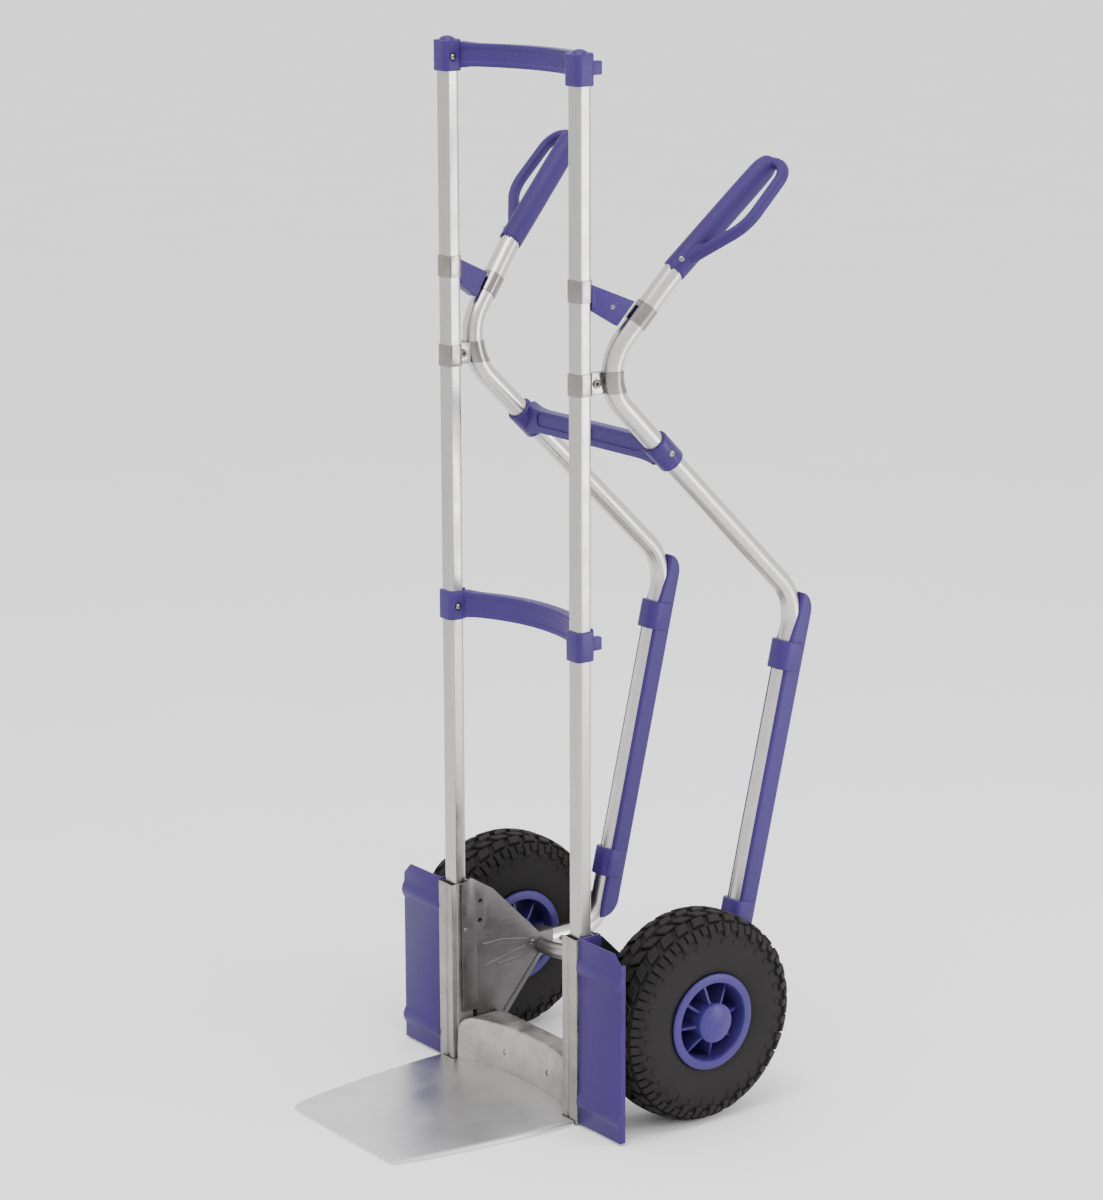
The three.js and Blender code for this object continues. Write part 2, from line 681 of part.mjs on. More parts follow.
function toePlate() {
  const { halfFront, halfBack, front, back, rearEdge, thick } = toe;
  const outline = new THREE.Shape();
  outline.moveTo(-halfFront + 12, front);
  outline.lineTo(halfFront - 12, front);
  outline.quadraticCurveTo(halfFront, front, halfFront + 3, front + 14);
  outline.quadraticCurveTo(halfBack - 2, front + 130, halfBack, back);
  outline.quadraticCurveTo(halfBack, rearEdge, halfBack - 8, rearEdge);
  outline.lineTo(riser.half, rearEdge);
  const stations = 16;
  for (let i = 0; i <= stations; i += 1) {
    const x = riser.half * (1 - (2 * i) / stations);
    outline.lineTo(x, riserFoot(x) - GAP);
  }
  outline.lineTo(-riser.half, rearEdge);
  outline.lineTo(-halfBack + 8, rearEdge);
  outline.quadraticCurveTo(-halfBack, rearEdge, -halfBack, back);
  outline.quadraticCurveTo(-halfBack + 2, front + 130, -halfFront - 3, front + 14);
  outline.quadraticCurveTo(-halfFront, front, -halfFront + 12, front);
  return upwards(outline, 0, thick, 6);
}

// folded sheet: a bowed wall behind the toe plate's rear edge, and a flat shelf behind its top
function toeRiser() {
  const { half, low, high, sheet, shelfBack } = riser;
  const stations = 16;
  const rings = Array.from({ length: stations + 1 }, (_, i) => {
    const x = half * ((2 * i) / stations - 1);
    const lean = 3 + 13 * (1 - (x / half) ** 2);
    const wall = [0, 0.45, 0.7, 0.86].map((t) => [riserFoot(x) + lean * t ** 3, low + (high - low) * t]);
    const brow = riserFoot(x) + lean;
    return [
      ...wall, [brow, high - 2.6], [brow + 3, high], [shelfBack, high], [shelfBack, high - sheet],
      [brow + 4.5, high - sheet], ...wall.map(([y, z]) => [y + sheet, z]).reverse(),
    ].map(([y, z]) => point(x, y, z));
  });
  const holes = [-44.6, 44.6].map((x) => rod([point(x, -60, 30), point(x, 60, 30)], 4));
  const reliefs = sides.map(([, side]) => {
    const xs = [side * (gusset.x - GAP), side * 130].sort((a, b) => a - b);
    return block(...xs, 18, 80, 40, 70);
  });
  return carve(skin(rings), ...holes, ...reliefs);
}

// moulded guard ahead of the wheel: panel with two swellings, and a wall along the foot profile
function wheelGuard(side) {
  const { inner, outer, front, sheet, low, high, ridge } = wing;
  const swell = (z, middle) => ridge * Math.max(0, Math.cos(((z - middle) / 22) * Math.PI));
  const heights = [low, 20, 26, 33, 40, 46, 190, 196, 203, 210, 216, high];
  const rings = heights.map((z) => {
    const y = front - swell(z, 33) * (z < 100) - swell(z, 203) * (z > 100);
    return [
      [inner, y], [outer, y], [outer, front + 8], [outer - 2.5, front + 8], [outer - 2.5, y + sheet],
      [inner + 2.5, y + sheet], [inner + 2.5, 18.5], [inner - 7, 18.5], [inner - 7, foot.back + GAP],
      [inner, foot.back + GAP],
    ].map(([x, v]) => point(side * x, v, z));
  });
  const corner = block(-8, 8, -30, 10, -8, 8).rotateY(Math.PI / 4);
  corner.translate(side * (outer + 1), 0, high + 1);
  return carve(skin(rings), corner);
}

sides.forEach(([name, side]) => {
  add(`${name}_gusset`, gussetPlate(side), rawAluminium);
  add(`${name}_axle_lug`, axleLug(side), rawAluminium);
  add(`${name}_axle_stub`, axleStub(side), brightSteel);
  add(`${name}_wheel_guard`, wheelGuard(side), bluePlastic);
  const boltX = side * (handle.path[toTheAxle][0] - handle.radius);
  const head = point(boltX - side * 2.4, 157, 131);
  const tip = point(boltX - side * GAP, 157, 131);
  add(`${name}_lug_bolt`, screw(head, tip, 4, 1.8, 3), brightSteel);
});
add("axle_tube", axleTube(), satinAluminium);
add("toe_plate", toePlate(), satinAluminium);
add("toe_riser", toeRiser(), rawAluminium);

// ---- wheels ---------------------------------------------------------------------------------

const hub = { radius: 22, pocket: 17.7, bearing: 11, innerFace: -36, outerFace: 41, bore: 10 };

// profiles run in [distance outboard of the wheel's middle, radius]
const tyreProfile = [
  [24, 54.4], [33.4, 54.4], [35.4, 60.6], [38.8, 63], [40, 84], [39, 106], [31.5, 124], [12, 130],
  [-12, 130], [-31.5, 124], [-39, 106], [-40, 84], [-38.8, 63], [-35.4, 60.6], [-33.4, 54.4], [-24, 54.4],
  [-24, 60], [-34, 70], [-35.5, 90], [-30, 112], [-12, 122], [12, 122], [30, 112], [35.5, 90], [34, 70],
  [24, 60],
];
const barrelProfile = [
  [-40, 49], [-40, 58.5], [-38.5, 60], [-36, 60], [-33.7, 54], [33.7, 54], [36, 60], [38.5, 60], [40, 58.5],
  [40, 49], [34, 47.5], [-34, 47.5],
];
const hubProfile = [
  [hub.innerFace, hub.pocket], [hub.innerFace, hub.radius], [hub.outerFace, hub.radius],
  [hub.outerFace, hub.pocket], [hub.outerFace - hub.bearing, hub.pocket],
  [hub.outerFace - hub.bearing, hub.bore],
  [hub.innerFace + hub.bearing, hub.bore], [hub.innerFace + hub.bearing, hub.pocket],
];
const capProfile = [
  [41.3, 21.6], [41.3, 24.5], [45.5, 24.5], [48.4, 20], [50.3, 12], [51, 0], [48.6, 0], [48, 11], [46.2, 18],
  [44, 21.6],
];
const valve = { angle: 208 * (Math.PI / 180), from: 27, to: 53.7, radius: 4 };

function onWheel(side, profile, facets) {
  return turned(profile.map(([w, r]) => [side * w, r]), facets);
}

function spokeWeb(side, turn) {
  const outline = polygon([[20.5, -33], [20.5, 37], [30, 33], [48.5, 26], [48.5, -26], [30, -32]]);
  const web = new THREE.ExtrudeGeometry(outline, { depth: 3.4, bevelEnabled: false }).translate(0, 0, -1.7);
  web.applyMatrix4(new THREE.Matrix4().makeBasis(point(0, 1, 0), point(side, 0, 0), point(0, 0, -side)));
  return web.rotateX(turn);
}

function valveRod(radius) {
  const out = (r) => point(8, r * Math.cos(valve.angle), r * Math.sin(valve.angle));
  return rod([out(valve.from), out(valve.to)], radius);
}

function rim(side) {
  const webs = Array.from({ length: wheel.spokes }, (_, i) => (
    spokeWeb(side, wheel.phase + (i * 2 * Math.PI) / wheel.spokes)
  ));
  const whole = fuse(onWheel(side, barrelProfile, 32), onWheel(side, hubProfile, 24), ...webs);
  return carve(whole, valveRod(valve.radius + GAP));
}

function wheelPieces(side) {
  const faces = [hub.innerFace + GAP, hub.outerFace - GAP];
  const bearing = (a, b) => onWheel(side, [[a, 7.5], [a, 17.4], [b, 17.4], [b, 7.5]], FACETS);
  return {
    tyre: [onWheel(side, tyreProfile, 36), blackRubber],
    rim: [rim(side), bluePlastic],
    inner_bearing: [bearing(faces[0], faces[0] + hub.bearing - 2 * GAP), brightSteel],
    outer_bearing: [bearing(faces[1] - hub.bearing + 2 * GAP, faces[1]), brightSteel],
    axle_washer: [onWheel(side, [[41.2, 7.5], [41.2, 12], [43, 12], [43, 7.5]], FACETS), brightSteel],
    hub_cap: [onWheel(side, capProfile, 20), bluePlastic],
    valve: [valveRod(valve.radius), blackRubber],
  };
}

sides.forEach(([name, side]) => {
  Object.entries(wheelPieces(side)).forEach(([piece, [geometry, material]]) => {
    const mesh = add(`${name}_${piece}`, geometry, material);
    mesh.position.set(side * wheel.x, axle.y, axle.z);
  });
});

// ---- centre the assembly: its box stands on Z = 0 over the origin ----------------------------

handTruck.updateMatrixWorld(true);
const bounds = new THREE.Box3().setFromObject(handTruck);
const middle = bounds.getCenter(point(0, 0, 0));
handTruck.position.set(-middle.x, -middle.y, -bounds.min.z);

export default handTruck;
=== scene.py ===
"""Looks of the hand truck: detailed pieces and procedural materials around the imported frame."""
import math
from types import SimpleNamespace

import bmesh
import bpy
from mathutils import Matrix, Vector


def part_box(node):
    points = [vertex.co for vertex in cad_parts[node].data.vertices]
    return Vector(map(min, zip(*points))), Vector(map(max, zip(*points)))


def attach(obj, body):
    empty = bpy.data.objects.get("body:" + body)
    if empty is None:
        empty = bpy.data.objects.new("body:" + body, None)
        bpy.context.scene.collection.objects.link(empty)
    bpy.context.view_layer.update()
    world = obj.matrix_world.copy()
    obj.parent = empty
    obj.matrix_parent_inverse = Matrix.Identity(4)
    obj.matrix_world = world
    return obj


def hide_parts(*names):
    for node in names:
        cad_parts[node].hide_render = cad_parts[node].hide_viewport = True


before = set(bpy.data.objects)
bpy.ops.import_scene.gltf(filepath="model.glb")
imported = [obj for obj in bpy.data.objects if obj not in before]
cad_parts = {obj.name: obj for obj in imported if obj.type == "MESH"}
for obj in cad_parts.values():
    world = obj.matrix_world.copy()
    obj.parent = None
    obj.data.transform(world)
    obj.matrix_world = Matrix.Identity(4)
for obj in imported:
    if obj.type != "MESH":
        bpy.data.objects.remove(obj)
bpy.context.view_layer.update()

MM = 0.001
SIDES = (("left", -1), ("right", 1))
X_AXIS = Vector((1, 0, 0))
Z_AXIS = Vector((0, 0, 1))


def centre_of(node):
    low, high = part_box(node)
    return (low + high) / 2


# Lengths below are millimetres. X and Z are the frame's; Y is measured from the plane of the uprights.
UPRIGHT_PLANE = centre_of("right_upright_tube").y / MM
UPRIGHT_X = centre_of("right_upright_tube").x / MM
UPRIGHT_LOW, UPRIGHT_HIGH = (corner.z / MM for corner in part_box("right_upright_tube"))
WHEEL_CENTRE = centre_of("right_rim") / MM
WHEEL_X = WHEEL_CENTRE.x
AXLE_Y, AXLE_Z = WHEEL_CENTRE.y - UPRIGHT_PLANE, WHEEL_CENTRE.z

GAP = 0.3
UPRIGHT_SIZE = (22, 20)
UPRIGHT_CORNER = 5
TUBE_WALL = 2
HANDLE_RADIUS = 12.5
HANDLE_CORNERS = [
    (185, 211.1, 1130.9), (161.6, 113.4, 1032), (137, 17.8, 914.2), (130, 332.6, 603.8), (130, 222.6, 131),
    (130, 143, 131),
]
HANDLE_BENDS = [0, 300, 64, 70, 40, 0]
GRIP_END, GRIP_FOOT, KNEE, HEEL, ANKLE, TO_THE_AXLE = range(6)


# ---- points, sections and solids -----------------------------------------------------------------

def metres(p):
    """A point in millimetres from the plane of the uprights, as metres in the frame."""
    return Vector((p[0], p[1] + UPRIGHT_PLANE, p[2])) * MM


def skin(rings, looped=False):
    """Points and faces of a closed solid through rings of equal length."""
    count = len(rings[0])
    points = [Vector(p) for ring in rings for p in ring]
    spans = len(rings) if looped else len(rings) - 1
    faces = []
    for i in range(spans):
        here, there = i * count, ((i + 1) % len(rings)) * count
        for j in range(count):
            k = (j + 1) % count
            faces.append((here + j, here + k, there + k, there + j))
    if not looped:
        faces.append(tuple(reversed(range(count))))
        faces.append(tuple(range(len(points) - count, len(points))))
    return points, faces


def merge(solids):
    """Several solids as one list of points and faces."""
    points, faces = [], []
    for more_points, more_faces in solids:
        start = len(points)
        points += more_points
        faces += [tuple(start + i for i in face) for face in more_faces]
    return points, faces


def bent_path(corners, radii, steps=14):
    """A polyline whose corners are rounded by true arcs."""
    corners = [Vector(c) for c in corners]
    path = [corners[0]]
    for i in range(1, len(corners) - 1):
        back = (corners[i - 1] - corners[i]).normalized()
        on = (corners[i + 1] - corners[i]).normalized()
        half = back.angle(on) / 2
        centre = corners[i] + (back + on).normalized() * radii[i] / math.sin(half)
        start = corners[i] + back * radii[i] / math.tan(half) - centre
        end = corners[i] + on * radii[i] / math.tan(half) - centre
        turn = start.angle(end)
        for k in range(steps + 1):
            t = turn * k / steps
            path.append(centre + (start * math.sin(turn - t) + end * math.sin(t)) / math.sin(turn))
    return path + [corners[-1]]


def frames_along(path, side):
    """(point, across, normal) at each point of a path, with `across` kept close to `side`."""
    frames = []
    for i, p in enumerate(path):
        before = (p - path[i - 1]).normalized() if i > 0 else Vector()
        after = (path[i + 1] - p).normalized() if i < len(path) - 1 else Vector()
        along = (before + after).normalized()
        across = (side - along * side.dot(along)).normalized()
        frames.append((p, across, along.cross(across)))
    return frames


def sweep(path, side, section):
    """Rings of a section, given at each station as (across, normal) pairs, along a path."""
    return [
        [p + across * a + normal * n for a, n in section(i)]
        for i, (p, across, normal) in enumerate(frames_along(path, side))
    ]


def quarter(steps):
    """Angles from 0 to a right angle."""
    return [math.pi / 2 * k / steps for k in range(steps + 1)]


def circle(radius, count=48):
    turns = [2 * math.pi * i / count for i in range(count)]
    return [(radius * math.cos(t), radius * math.sin(t)) for t in turns]


def rounded_rectangle(width, depth, corner, count=8):
    """Outline of a rectangle with round corners, centred on the origin."""
    points = []
    for k, (sx, sy) in enumerate(((1, 1), (-1, 1), (-1, -1), (1, -1))):
        for i in range(count + 1):
            turn = math.pi / 2 * (k + i / count)
            points.append((sx * (width / 2 - corner) + corner * math.cos(turn),
                           sy * (depth / 2 - corner) + corner * math.sin(turn)))
    return points


def smooth_curve(points, steps=5):
    """A smooth open curve through points in the plane, by Catmull-Rom spans."""
    padded = [points[0], *points, points[-1]]
    curve = []
    for a, b, c, d in zip(padded, padded[1:], padded[2:], padded[3:]):
        for i in range(steps):
            t = i / steps
            curve.append(tuple(
                0.5 * (2 * b[k] + (c[k] - a[k]) * t + (2 * a[k] - 5 * b[k] + 4 * c[k] - d[k]) * t * t
                       + (3 * b[k] - a[k] - 3 * c[k] + d[k]) * t ** 3)
                for k in (0, 1)
            ))
    return curve + [tuple(points[-1])]


def rod(path, radius, side=X_AXIS, count=48):
    return skin(sweep([Vector(p) for p in path], side, lambda i: circle(radius, count)))


def pipe(path, radius, bore, side=X_AXIS, count=48):
    path = [Vector(p) for p in path]
    outside = sweep(path, side, lambda i: circle(radius, count))
    inside = sweep(path, side, lambda i: circle(bore, count))
    return skin(outside + inside[::-1], looped=True)


def upwards(outline, low, high, x=0.0, y=0.0):
    """An outline in (x, y) between two heights."""
    return skin([[(x + a, y + b, z) for a, b in outline] for z in (low, high)])


def sideways(outline, x0, x1):
    """An outline in (y, z) between two places along X."""
    return skin([[(x, y, z) for y, z in outline] for x in (x0, x1)])


def backwards(outline, y0, y1):
    """An outline in (x, z) between two places along Y."""
    return skin([[(x, y, z) for x, z in outline] for y in (y0, y1)])


def block(x0, x1, y0, y1, z0, z1):
    return upwards([(x0, y0), (x1, y0), (x1, y1), (x0, y1)], z0, z1)


def on_wheel(side, outboard, radius, turn):
    """A point on a wheel, by its distance outboard of the wheel's middle, its radius and its angle."""
    return (
        side * (WHEEL_X + outboard),
        AXLE_Y + radius * math.cos(turn),
        AXLE_Z + radius * math.sin(turn),
    )


def lathe(profile, side, count=96):
    """A solid turned about the wheel's axis: a closed profile of (distance outboard, radius)."""
    turns = [2 * math.pi * i / count for i in range(count)]
    return skin([[on_wheel(side, w, r, turn) for w, r in profile] for turn in turns], looped=True)


def turned(profile, base, axis, count=32):
    """A solid turned about an axis from `base`: an open profile of (along, radius), with flat ends."""
    axis = Vector(axis).normalized()
    side = X_AXIS if abs(axis.x) < 0.9 else Z_AXIS
    across = (side - axis * side.dot(axis)).normalized()
    normal = axis.cross(across)
    return skin([
        [Vector(base) + axis * a + across * u + normal * v for u, v in circle(r, count)]
        for a, r in profile
    ])


# ---- objects -------------------------------------------------------------------------------------

SMOOTH_ANGLE = math.radians(32)


def make_object(name, solid, material):
    """A mesh object from a solid in millimetres."""
    points, faces = solid
    mesh = bpy.data.meshes.new(name)
    mesh.from_pydata([metres(p) for p in points], [], faces)
    work = bmesh.new()
    work.from_mesh(mesh)
    bmesh.ops.recalc_face_normals(work, faces=work.faces)
    work.to_mesh(mesh)
    work.free()
    mesh.materials.append(material)
    obj = bpy.data.objects.new(name, mesh)
    bpy.context.scene.collection.objects.link(obj)
    return shade_smooth(obj)


def shade_smooth(obj):
    obj.data.polygons.foreach_set("use_smooth", [True] * len(obj.data.polygons))
    obj.data.set_sharp_from_angle(angle=SMOOTH_ANGLE)
    return obj


def apply_modifiers(obj):
    bpy.context.view_layer.update()
    mesh = bpy.data.meshes.new_from_object(obj.evaluated_get(bpy.context.evaluated_depsgraph_get()))
    obj.modifiers.clear()
    obj.data = mesh
    return shade_smooth(obj)


def bevel(obj, width, segments=3):
    """Rounds the crisp edges of an object by `width` millimetres."""
    tool = obj.modifiers.new("bevel", "BEVEL")
    tool.width = width * MM
    tool.segments = segments
    tool.limit_method = "ANGLE"
    tool.angle_limit = SMOOTH_ANGLE
    return apply_modifiers(obj)


def boolean(obj, other, operation):
    tool = obj.modifiers.new("boolean", "BOOLEAN")
    tool.operation = operation
    tool.object = other
    tool.solver = "MANIFOLD"
    apply_modifiers(obj)
    bpy.data.objects.remove(other)
    return obj


def carve(obj, *solids):
    """Cuts solids out of an object."""
    for solid in solids:
        boolean(obj, make_object("cutter", solid, obj.data.materials[0]), "DIFFERENCE")
    return obj


def weld(obj, *solids, edge=0.0):
    """Joins solids to an object, each with its own edges rounded by `edge` first."""
    for solid in solids:
        part = make_object("part", solid, obj.data.materials[0])
        boolean(obj, bevel(part, edge) if edge else part, "UNION")
    return obj


def combine(name, material, solids, cuts=(), edge=0.0):
    """One object from solids joined together, each with its edges rounded by `edge`, less the cuts."""
    whole = make_object(name, solids[0], material)
    if edge:
        bevel(whole, edge)
    weld(whole, *solids[1:], edge=edge)
    return carve(whole, *cuts)


def piece(obj, slot, *nodes, body="frame"):
    """Puts an object on its body, in place of its CAD nodes; `slot` is not used."""
    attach(obj, body)
    if nodes:
        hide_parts(*nodes)
    return obj


def pieces_each_side(*rows):
    """Makes each row's piece, as (maker, slot, node or None), on the left and then on the right."""
    for name, side in SIDES:
        for maker, slot, node in rows:
            piece(maker(name, side), slot, *([f"{name}_{node}"] if node else []))


# ---- materials -----------------------------------------------------------------------------------

class Surface:
    """A node material around one Principled shader, patterned in object space."""

    def __init__(self, name, metallic=0.0, specular=0.5):
        self.material = bpy.data.materials.new(name)
        self.material.use_nodes = True
        self.nodes = self.material.node_tree.nodes
        self.links = self.material.node_tree.links
        self.shader = self.nodes["Principled BSDF"]
        self.shader.inputs["Metallic"].default_value = metallic
        self.shader.inputs["Specular IOR Level"].default_value = specular
        self.coordinates = self.nodes.new("ShaderNodeTexCoord").outputs["Object"]
        self.normal = None

    def noise(self, scale, detail=4.0, stretch=(1, 1, 1), contrast=(0.3, 0.7)):
        """Noise from 0 to 1, `scale` features to the metre, drawn out where `stretch` is small."""
        mapping = self.nodes.new("ShaderNodeMapping")
        mapping.inputs["Scale"].default_value = stretch
        self.links.new(self.coordinates, mapping.inputs["Vector"])
        noise = self.nodes.new("ShaderNodeTexNoise")
        noise.inputs["Scale"].default_value = scale
        noise.inputs["Detail"].default_value = detail
        self.links.new(mapping.outputs["Vector"], noise.inputs["Vector"])
        return self.remap(noise.outputs["Fac"], *contrast, 0.0, 1.0)

    def remap(self, value, from_low, from_high, low, high):
        node = self.nodes.new("ShaderNodeMapRange")
        sockets = ("From Min", "From Max", "To Min", "To Max")
        for socket, number in zip(sockets, (from_low, from_high, low, high)):
            node.inputs[socket].default_value = number
        self.links.new(value, node.inputs["Value"])
        return node.outputs["Result"]

    def blend(self, factor, a, b):
        """A colour between a and b; each is a colour or another blend's output."""
        node = self.nodes.new("ShaderNodeMix")
        node.data_type = "RGBA"
        self.links.new(factor, node.inputs["Factor"])
        for socket, colour in zip((node.inputs[6], node.inputs[7]), (a, b)):
            if isinstance(colour, tuple):
                socket.default_value = (*colour, 1)
            else:
                self.links.new(colour, socket)
        return node.outputs[2]

    def wear(self, mask, amount, tone, worn):
        """The tone, turned towards a worn colour by up to `amount` where the mask is 1."""
        return self.blend(self.remap(mask, 0, 1, 0, amount), tone, worn)

    def colour(self, output):
        self.links.new(output, self.shader.inputs["Base Color"])

    def roughness(self, value, low, high):
        self.links.new(self.remap(value, 0, 1, low, high), self.shader.inputs["Roughness"])

    def bump(self, height, distance, strength=1.0):
        """Adds relief, `distance` millimetres deep, on top of any already there."""
        node = self.nodes.new("ShaderNodeBump")
        node.inputs["Distance"].default_value = distance * MM
        node.inputs["Strength"].default_value = strength
        self.links.new(height, node.inputs["Height"])
        if self.normal is not None:
            self.links.new(self.normal, node.inputs["Normal"])
        self.normal = node.outputs["Normal"]
        self.links.new(self.normal, self.shader.inputs["Normal"])


def shade(colour, factor):
    return tuple(min(1.0, c * factor) for c in colour)


def satin_aluminium(name, stretch, tint):
    """Drawn tube: faint lines along its length, a soft mottled oxide and a few darker scuffs."""
    surface = Surface(name, metallic=1.0)
    lines = surface.noise(900, 3, stretch)
    cloud = surface.noise(22, 5)
    scuffs = surface.noise(140, 6, contrast=(0.62, 0.72))
    tone = surface.blend(lines, shade(tint, 0.94), shade(tint, 1.08))
    tone = surface.wear(cloud, 0.4, tone, shade(tint, 0.84))
    surface.colour(surface.wear(scuffs, 0.4, tone, shade(tint, 0.62)))
    surface.roughness(cloud, 0.25, 0.36)
    surface.bump(lines, 0.03, 0.5)
    surface.bump(scuffs, 0.05, 0.4)
    return surface.material


def raw_aluminium(name, tint):
    """Mill-finish sheet and extrusion, blotched, stained and scratched."""
    surface = Surface(name, metallic=1.0)
    blotches = surface.noise(38, 8, contrast=(0.35, 0.68))
    stains = surface.noise(14, 5, contrast=(0.45, 0.75))
    scratches = surface.noise(260, 4, (1, 0.12, 1), contrast=(0.55, 0.75))
    tone = surface.blend(blotches, shade(tint, 0.84), shade(tint, 1.18))
    tone = surface.wear(stains, 0.5, tone, shade(tint, 0.64))
    surface.colour(surface.wear(scratches, 0.4, tone, shade(tint, 1.5)))
    surface.roughness(blotches, 0.36, 0.56)
    surface.bump(blotches, 0.12, 0.4)
    surface.bump(scratches, 0.04, 0.4)
    return surface.material


def toe_aluminium():
    """Brushed plate: fine lines front to back, rubbed bright in patches, with hairline scratches."""
    surface = Surface("toe_aluminium", metallic=1.0)
    brushed = surface.noise(1200, 2, (1, 0.03, 1))
    rubbed = surface.noise(9, 5)
    scratches = surface.noise(300, 3, (0.06, 1, 1), contrast=(0.66, 0.74))
    tone = surface.blend(brushed, (0.64, 0.64, 0.65), (0.76, 0.76, 0.77))
    tone = surface.wear(rubbed, 0.4, tone, (0.56, 0.55, 0.55))
    surface.colour(surface.wear(scratches, 0.35, tone, (0.88, 0.88, 0.88)))
    surface.roughness(rubbed, 0.30, 0.44)
    surface.bump(brushed, 0.03, 0.5)
    surface.bump(scratches, 0.03, 0.3)
    return surface.material


def bright_steel():
    """Plated strip and fasteners: hard reflections, hairlines and a faint tarnish."""
    surface = Surface("bright_steel", metallic=1.0)
    hairlines = surface.noise(1500, 2, (1, 1, 0.08))
    tarnish = surface.noise(60, 6)
    tone = surface.blend(hairlines, (0.22, 0.21, 0.20), (0.31, 0.29, 0.27))
    surface.colour(surface.wear(tarnish, 0.5, tone, (0.16, 0.15, 0.14)))
    surface.roughness(tarnish, 0.14, 0.30)
    surface.bump(hairlines, 0.01, 0.5)
    return surface.material


def moulded_plastic(name, deep, light, roughness):
    """Spark-textured moulding: fine grain, slow flow marks and paler rubbed patches."""
    surface = Surface(name, specular=0.2)
    grain = surface.noise(1400, 2)
    flow = surface.noise(11, 3, (1, 1, 0.5))
    rubs = surface.noise(170, 6, contrast=(0.60, 0.75))
    tone = surface.blend(flow, deep, light)
    surface.colour(surface.wear(rubs, 0.3, tone, shade(light, 1.7)))
    surface.roughness(flow, *roughness)
    surface.bump(grain, 0.035, 0.5)
    surface.bump(flow, 0.5, 0.15)
    return surface.material


def rubber(name, dark, dusty, roughness):
    """Black rubber, fine-pitted, with dry dust on its raised parts."""
    surface = Surface(name, specular=0.2)
    pits = surface.noise(900, 4)
    dust = surface.noise(30, 6)
    surface.colour(surface.blend(dust, dark, dusty))
    surface.roughness(dust, *roughness)
    surface.bump(pits, 0.08, 0.6)
    surface.bump(dust, 0.2, 0.3)
    return surface.material


UPRIGHT_METAL = satin_aluminium("satin_aluminium", (1, 1, 0.01), (0.44, 0.43, 0.42))
TUBE_METAL = satin_aluminium("satin_aluminium_bent", (1, 0.3, 0.3), (0.56, 0.55, 0.53))
AXLE_METAL = satin_aluminium("satin_aluminium_axle", (0.01, 1, 1), (0.36, 0.35, 0.34))
RAW_METAL = raw_aluminium("raw_aluminium", (0.34, 0.32, 0.30))
# A darker copy of raw aluminium: painted shade for the gussets and axle lugs, which sit in shade between the
# frame's parts.
SHADED_GUSSET_METAL = raw_aluminium("raw_aluminium_painted_shade", (0.135, 0.13, 0.13))
RISER_METAL = raw_aluminium("raw_aluminium_folded", (0.42, 0.40, 0.38))
TOE_METAL = toe_aluminium()
STEEL = bright_steel()
BLUE = moulded_plastic("blue_plastic", (0.034, 0.018, 0.118), (0.043, 0.024, 0.142), (0.36, 0.48))
# A darker copy of the blue plastic: painted shade for the wheel guards, which take less light than the
# crossbars.
SHADED_GUARD_BLUE = moulded_plastic("guard_plastic_painted_shade", (0.030, 0.015, 0.103), (0.038, 0.019, 0.125), (0.36, 0.48))
GRIP_BLUE = moulded_plastic("grip_plastic", (0.028, 0.014, 0.092), (0.034, 0.018, 0.110), (0.48, 0.60))
RIM_BLUE = moulded_plastic("rim_plastic", (0.033, 0.022, 0.130), (0.042, 0.028, 0.155), (0.30, 0.42))
TYRE = rubber("tyre_rubber", (0.0065, 0.0058, 0.0058), (0.016, 0.014, 0.014), (0.62, 0.85))
VALVE = rubber("valve_rubber", (0.06, 0.06, 0.06), (0.10, 0.10, 0.10), (0.5, 0.7))


# ---- uprights, foot profiles and the two moulded crossbars ---------------------------------------

def upright_outline(grow=0.0):
    width, depth = UPRIGHT_SIZE
    return rounded_rectangle(width + 2 * grow, depth + 2 * grow, UPRIGHT_CORNER + grow)


def upright_clearance(side, low, high):
    return upwards(upright_outline(GAP), low, high, side * UPRIGHT_X)


def upright_tube(name, side):
    stations = ((0, UPRIGHT_LOW), (0, UPRIGHT_HIGH), (-TUBE_WALL, UPRIGHT_HIGH), (-TUBE_WALL, UPRIGHT_LOW))
    rings = [[(side * UPRIGHT_X + x, y, z) for x, y in upright_outline(grow)] for grow, z in stations]
    return make_object(f"{name}_upright", skin(rings, looped=True), UPRIGHT_METAL)


FOOT = SimpleNamespace(
    inner=116, outer=144.3, front=-16.5, back=15, low=3, high=236, wall=2,
    front_groove=(124, 130), side_groove=(-7.5, -13.5),
)


def foot_profile(name, side):
    """Extruded box around the upright's foot, grooved down its front and its inboard face."""
    inner, outer, front, back = FOOT.inner, FOOT.outer, FOOT.front, FOOT.back
    groove, draft = 1.5, 0.6
    (left, right), (rear, fore) = FOOT.front_groove, FOOT.side_groove
    outline = [
        (inner, front),
        (left, front), (left + draft, front + groove), (right - draft, front + groove), (right, front),
        (outer, front), (outer, back), (inner, back),
        (inner, rear), (inner + groove, rear - draft), (inner + groove, fore + draft), (inner, fore),
    ]
    wall = FOOT.wall
    hole = [(inner + wall, front + wall), (outer - wall, front + wall), (outer - wall, back - wall),
            (inner + wall, back - wall)]
    body = upwards([(side * x, y) for x, y in outline], FOOT.low, FOOT.high)
    bore = upwards([(side * x, y) for x, y in hole], FOOT.low - 5, FOOT.high + 5)
    return combine(f"{name}_foot_extrusion", RAW_METAL, [body], [bore], edge=0.5)


SLEEVE = SimpleNamespace(width=28.4, depth=26.4, corner=7)


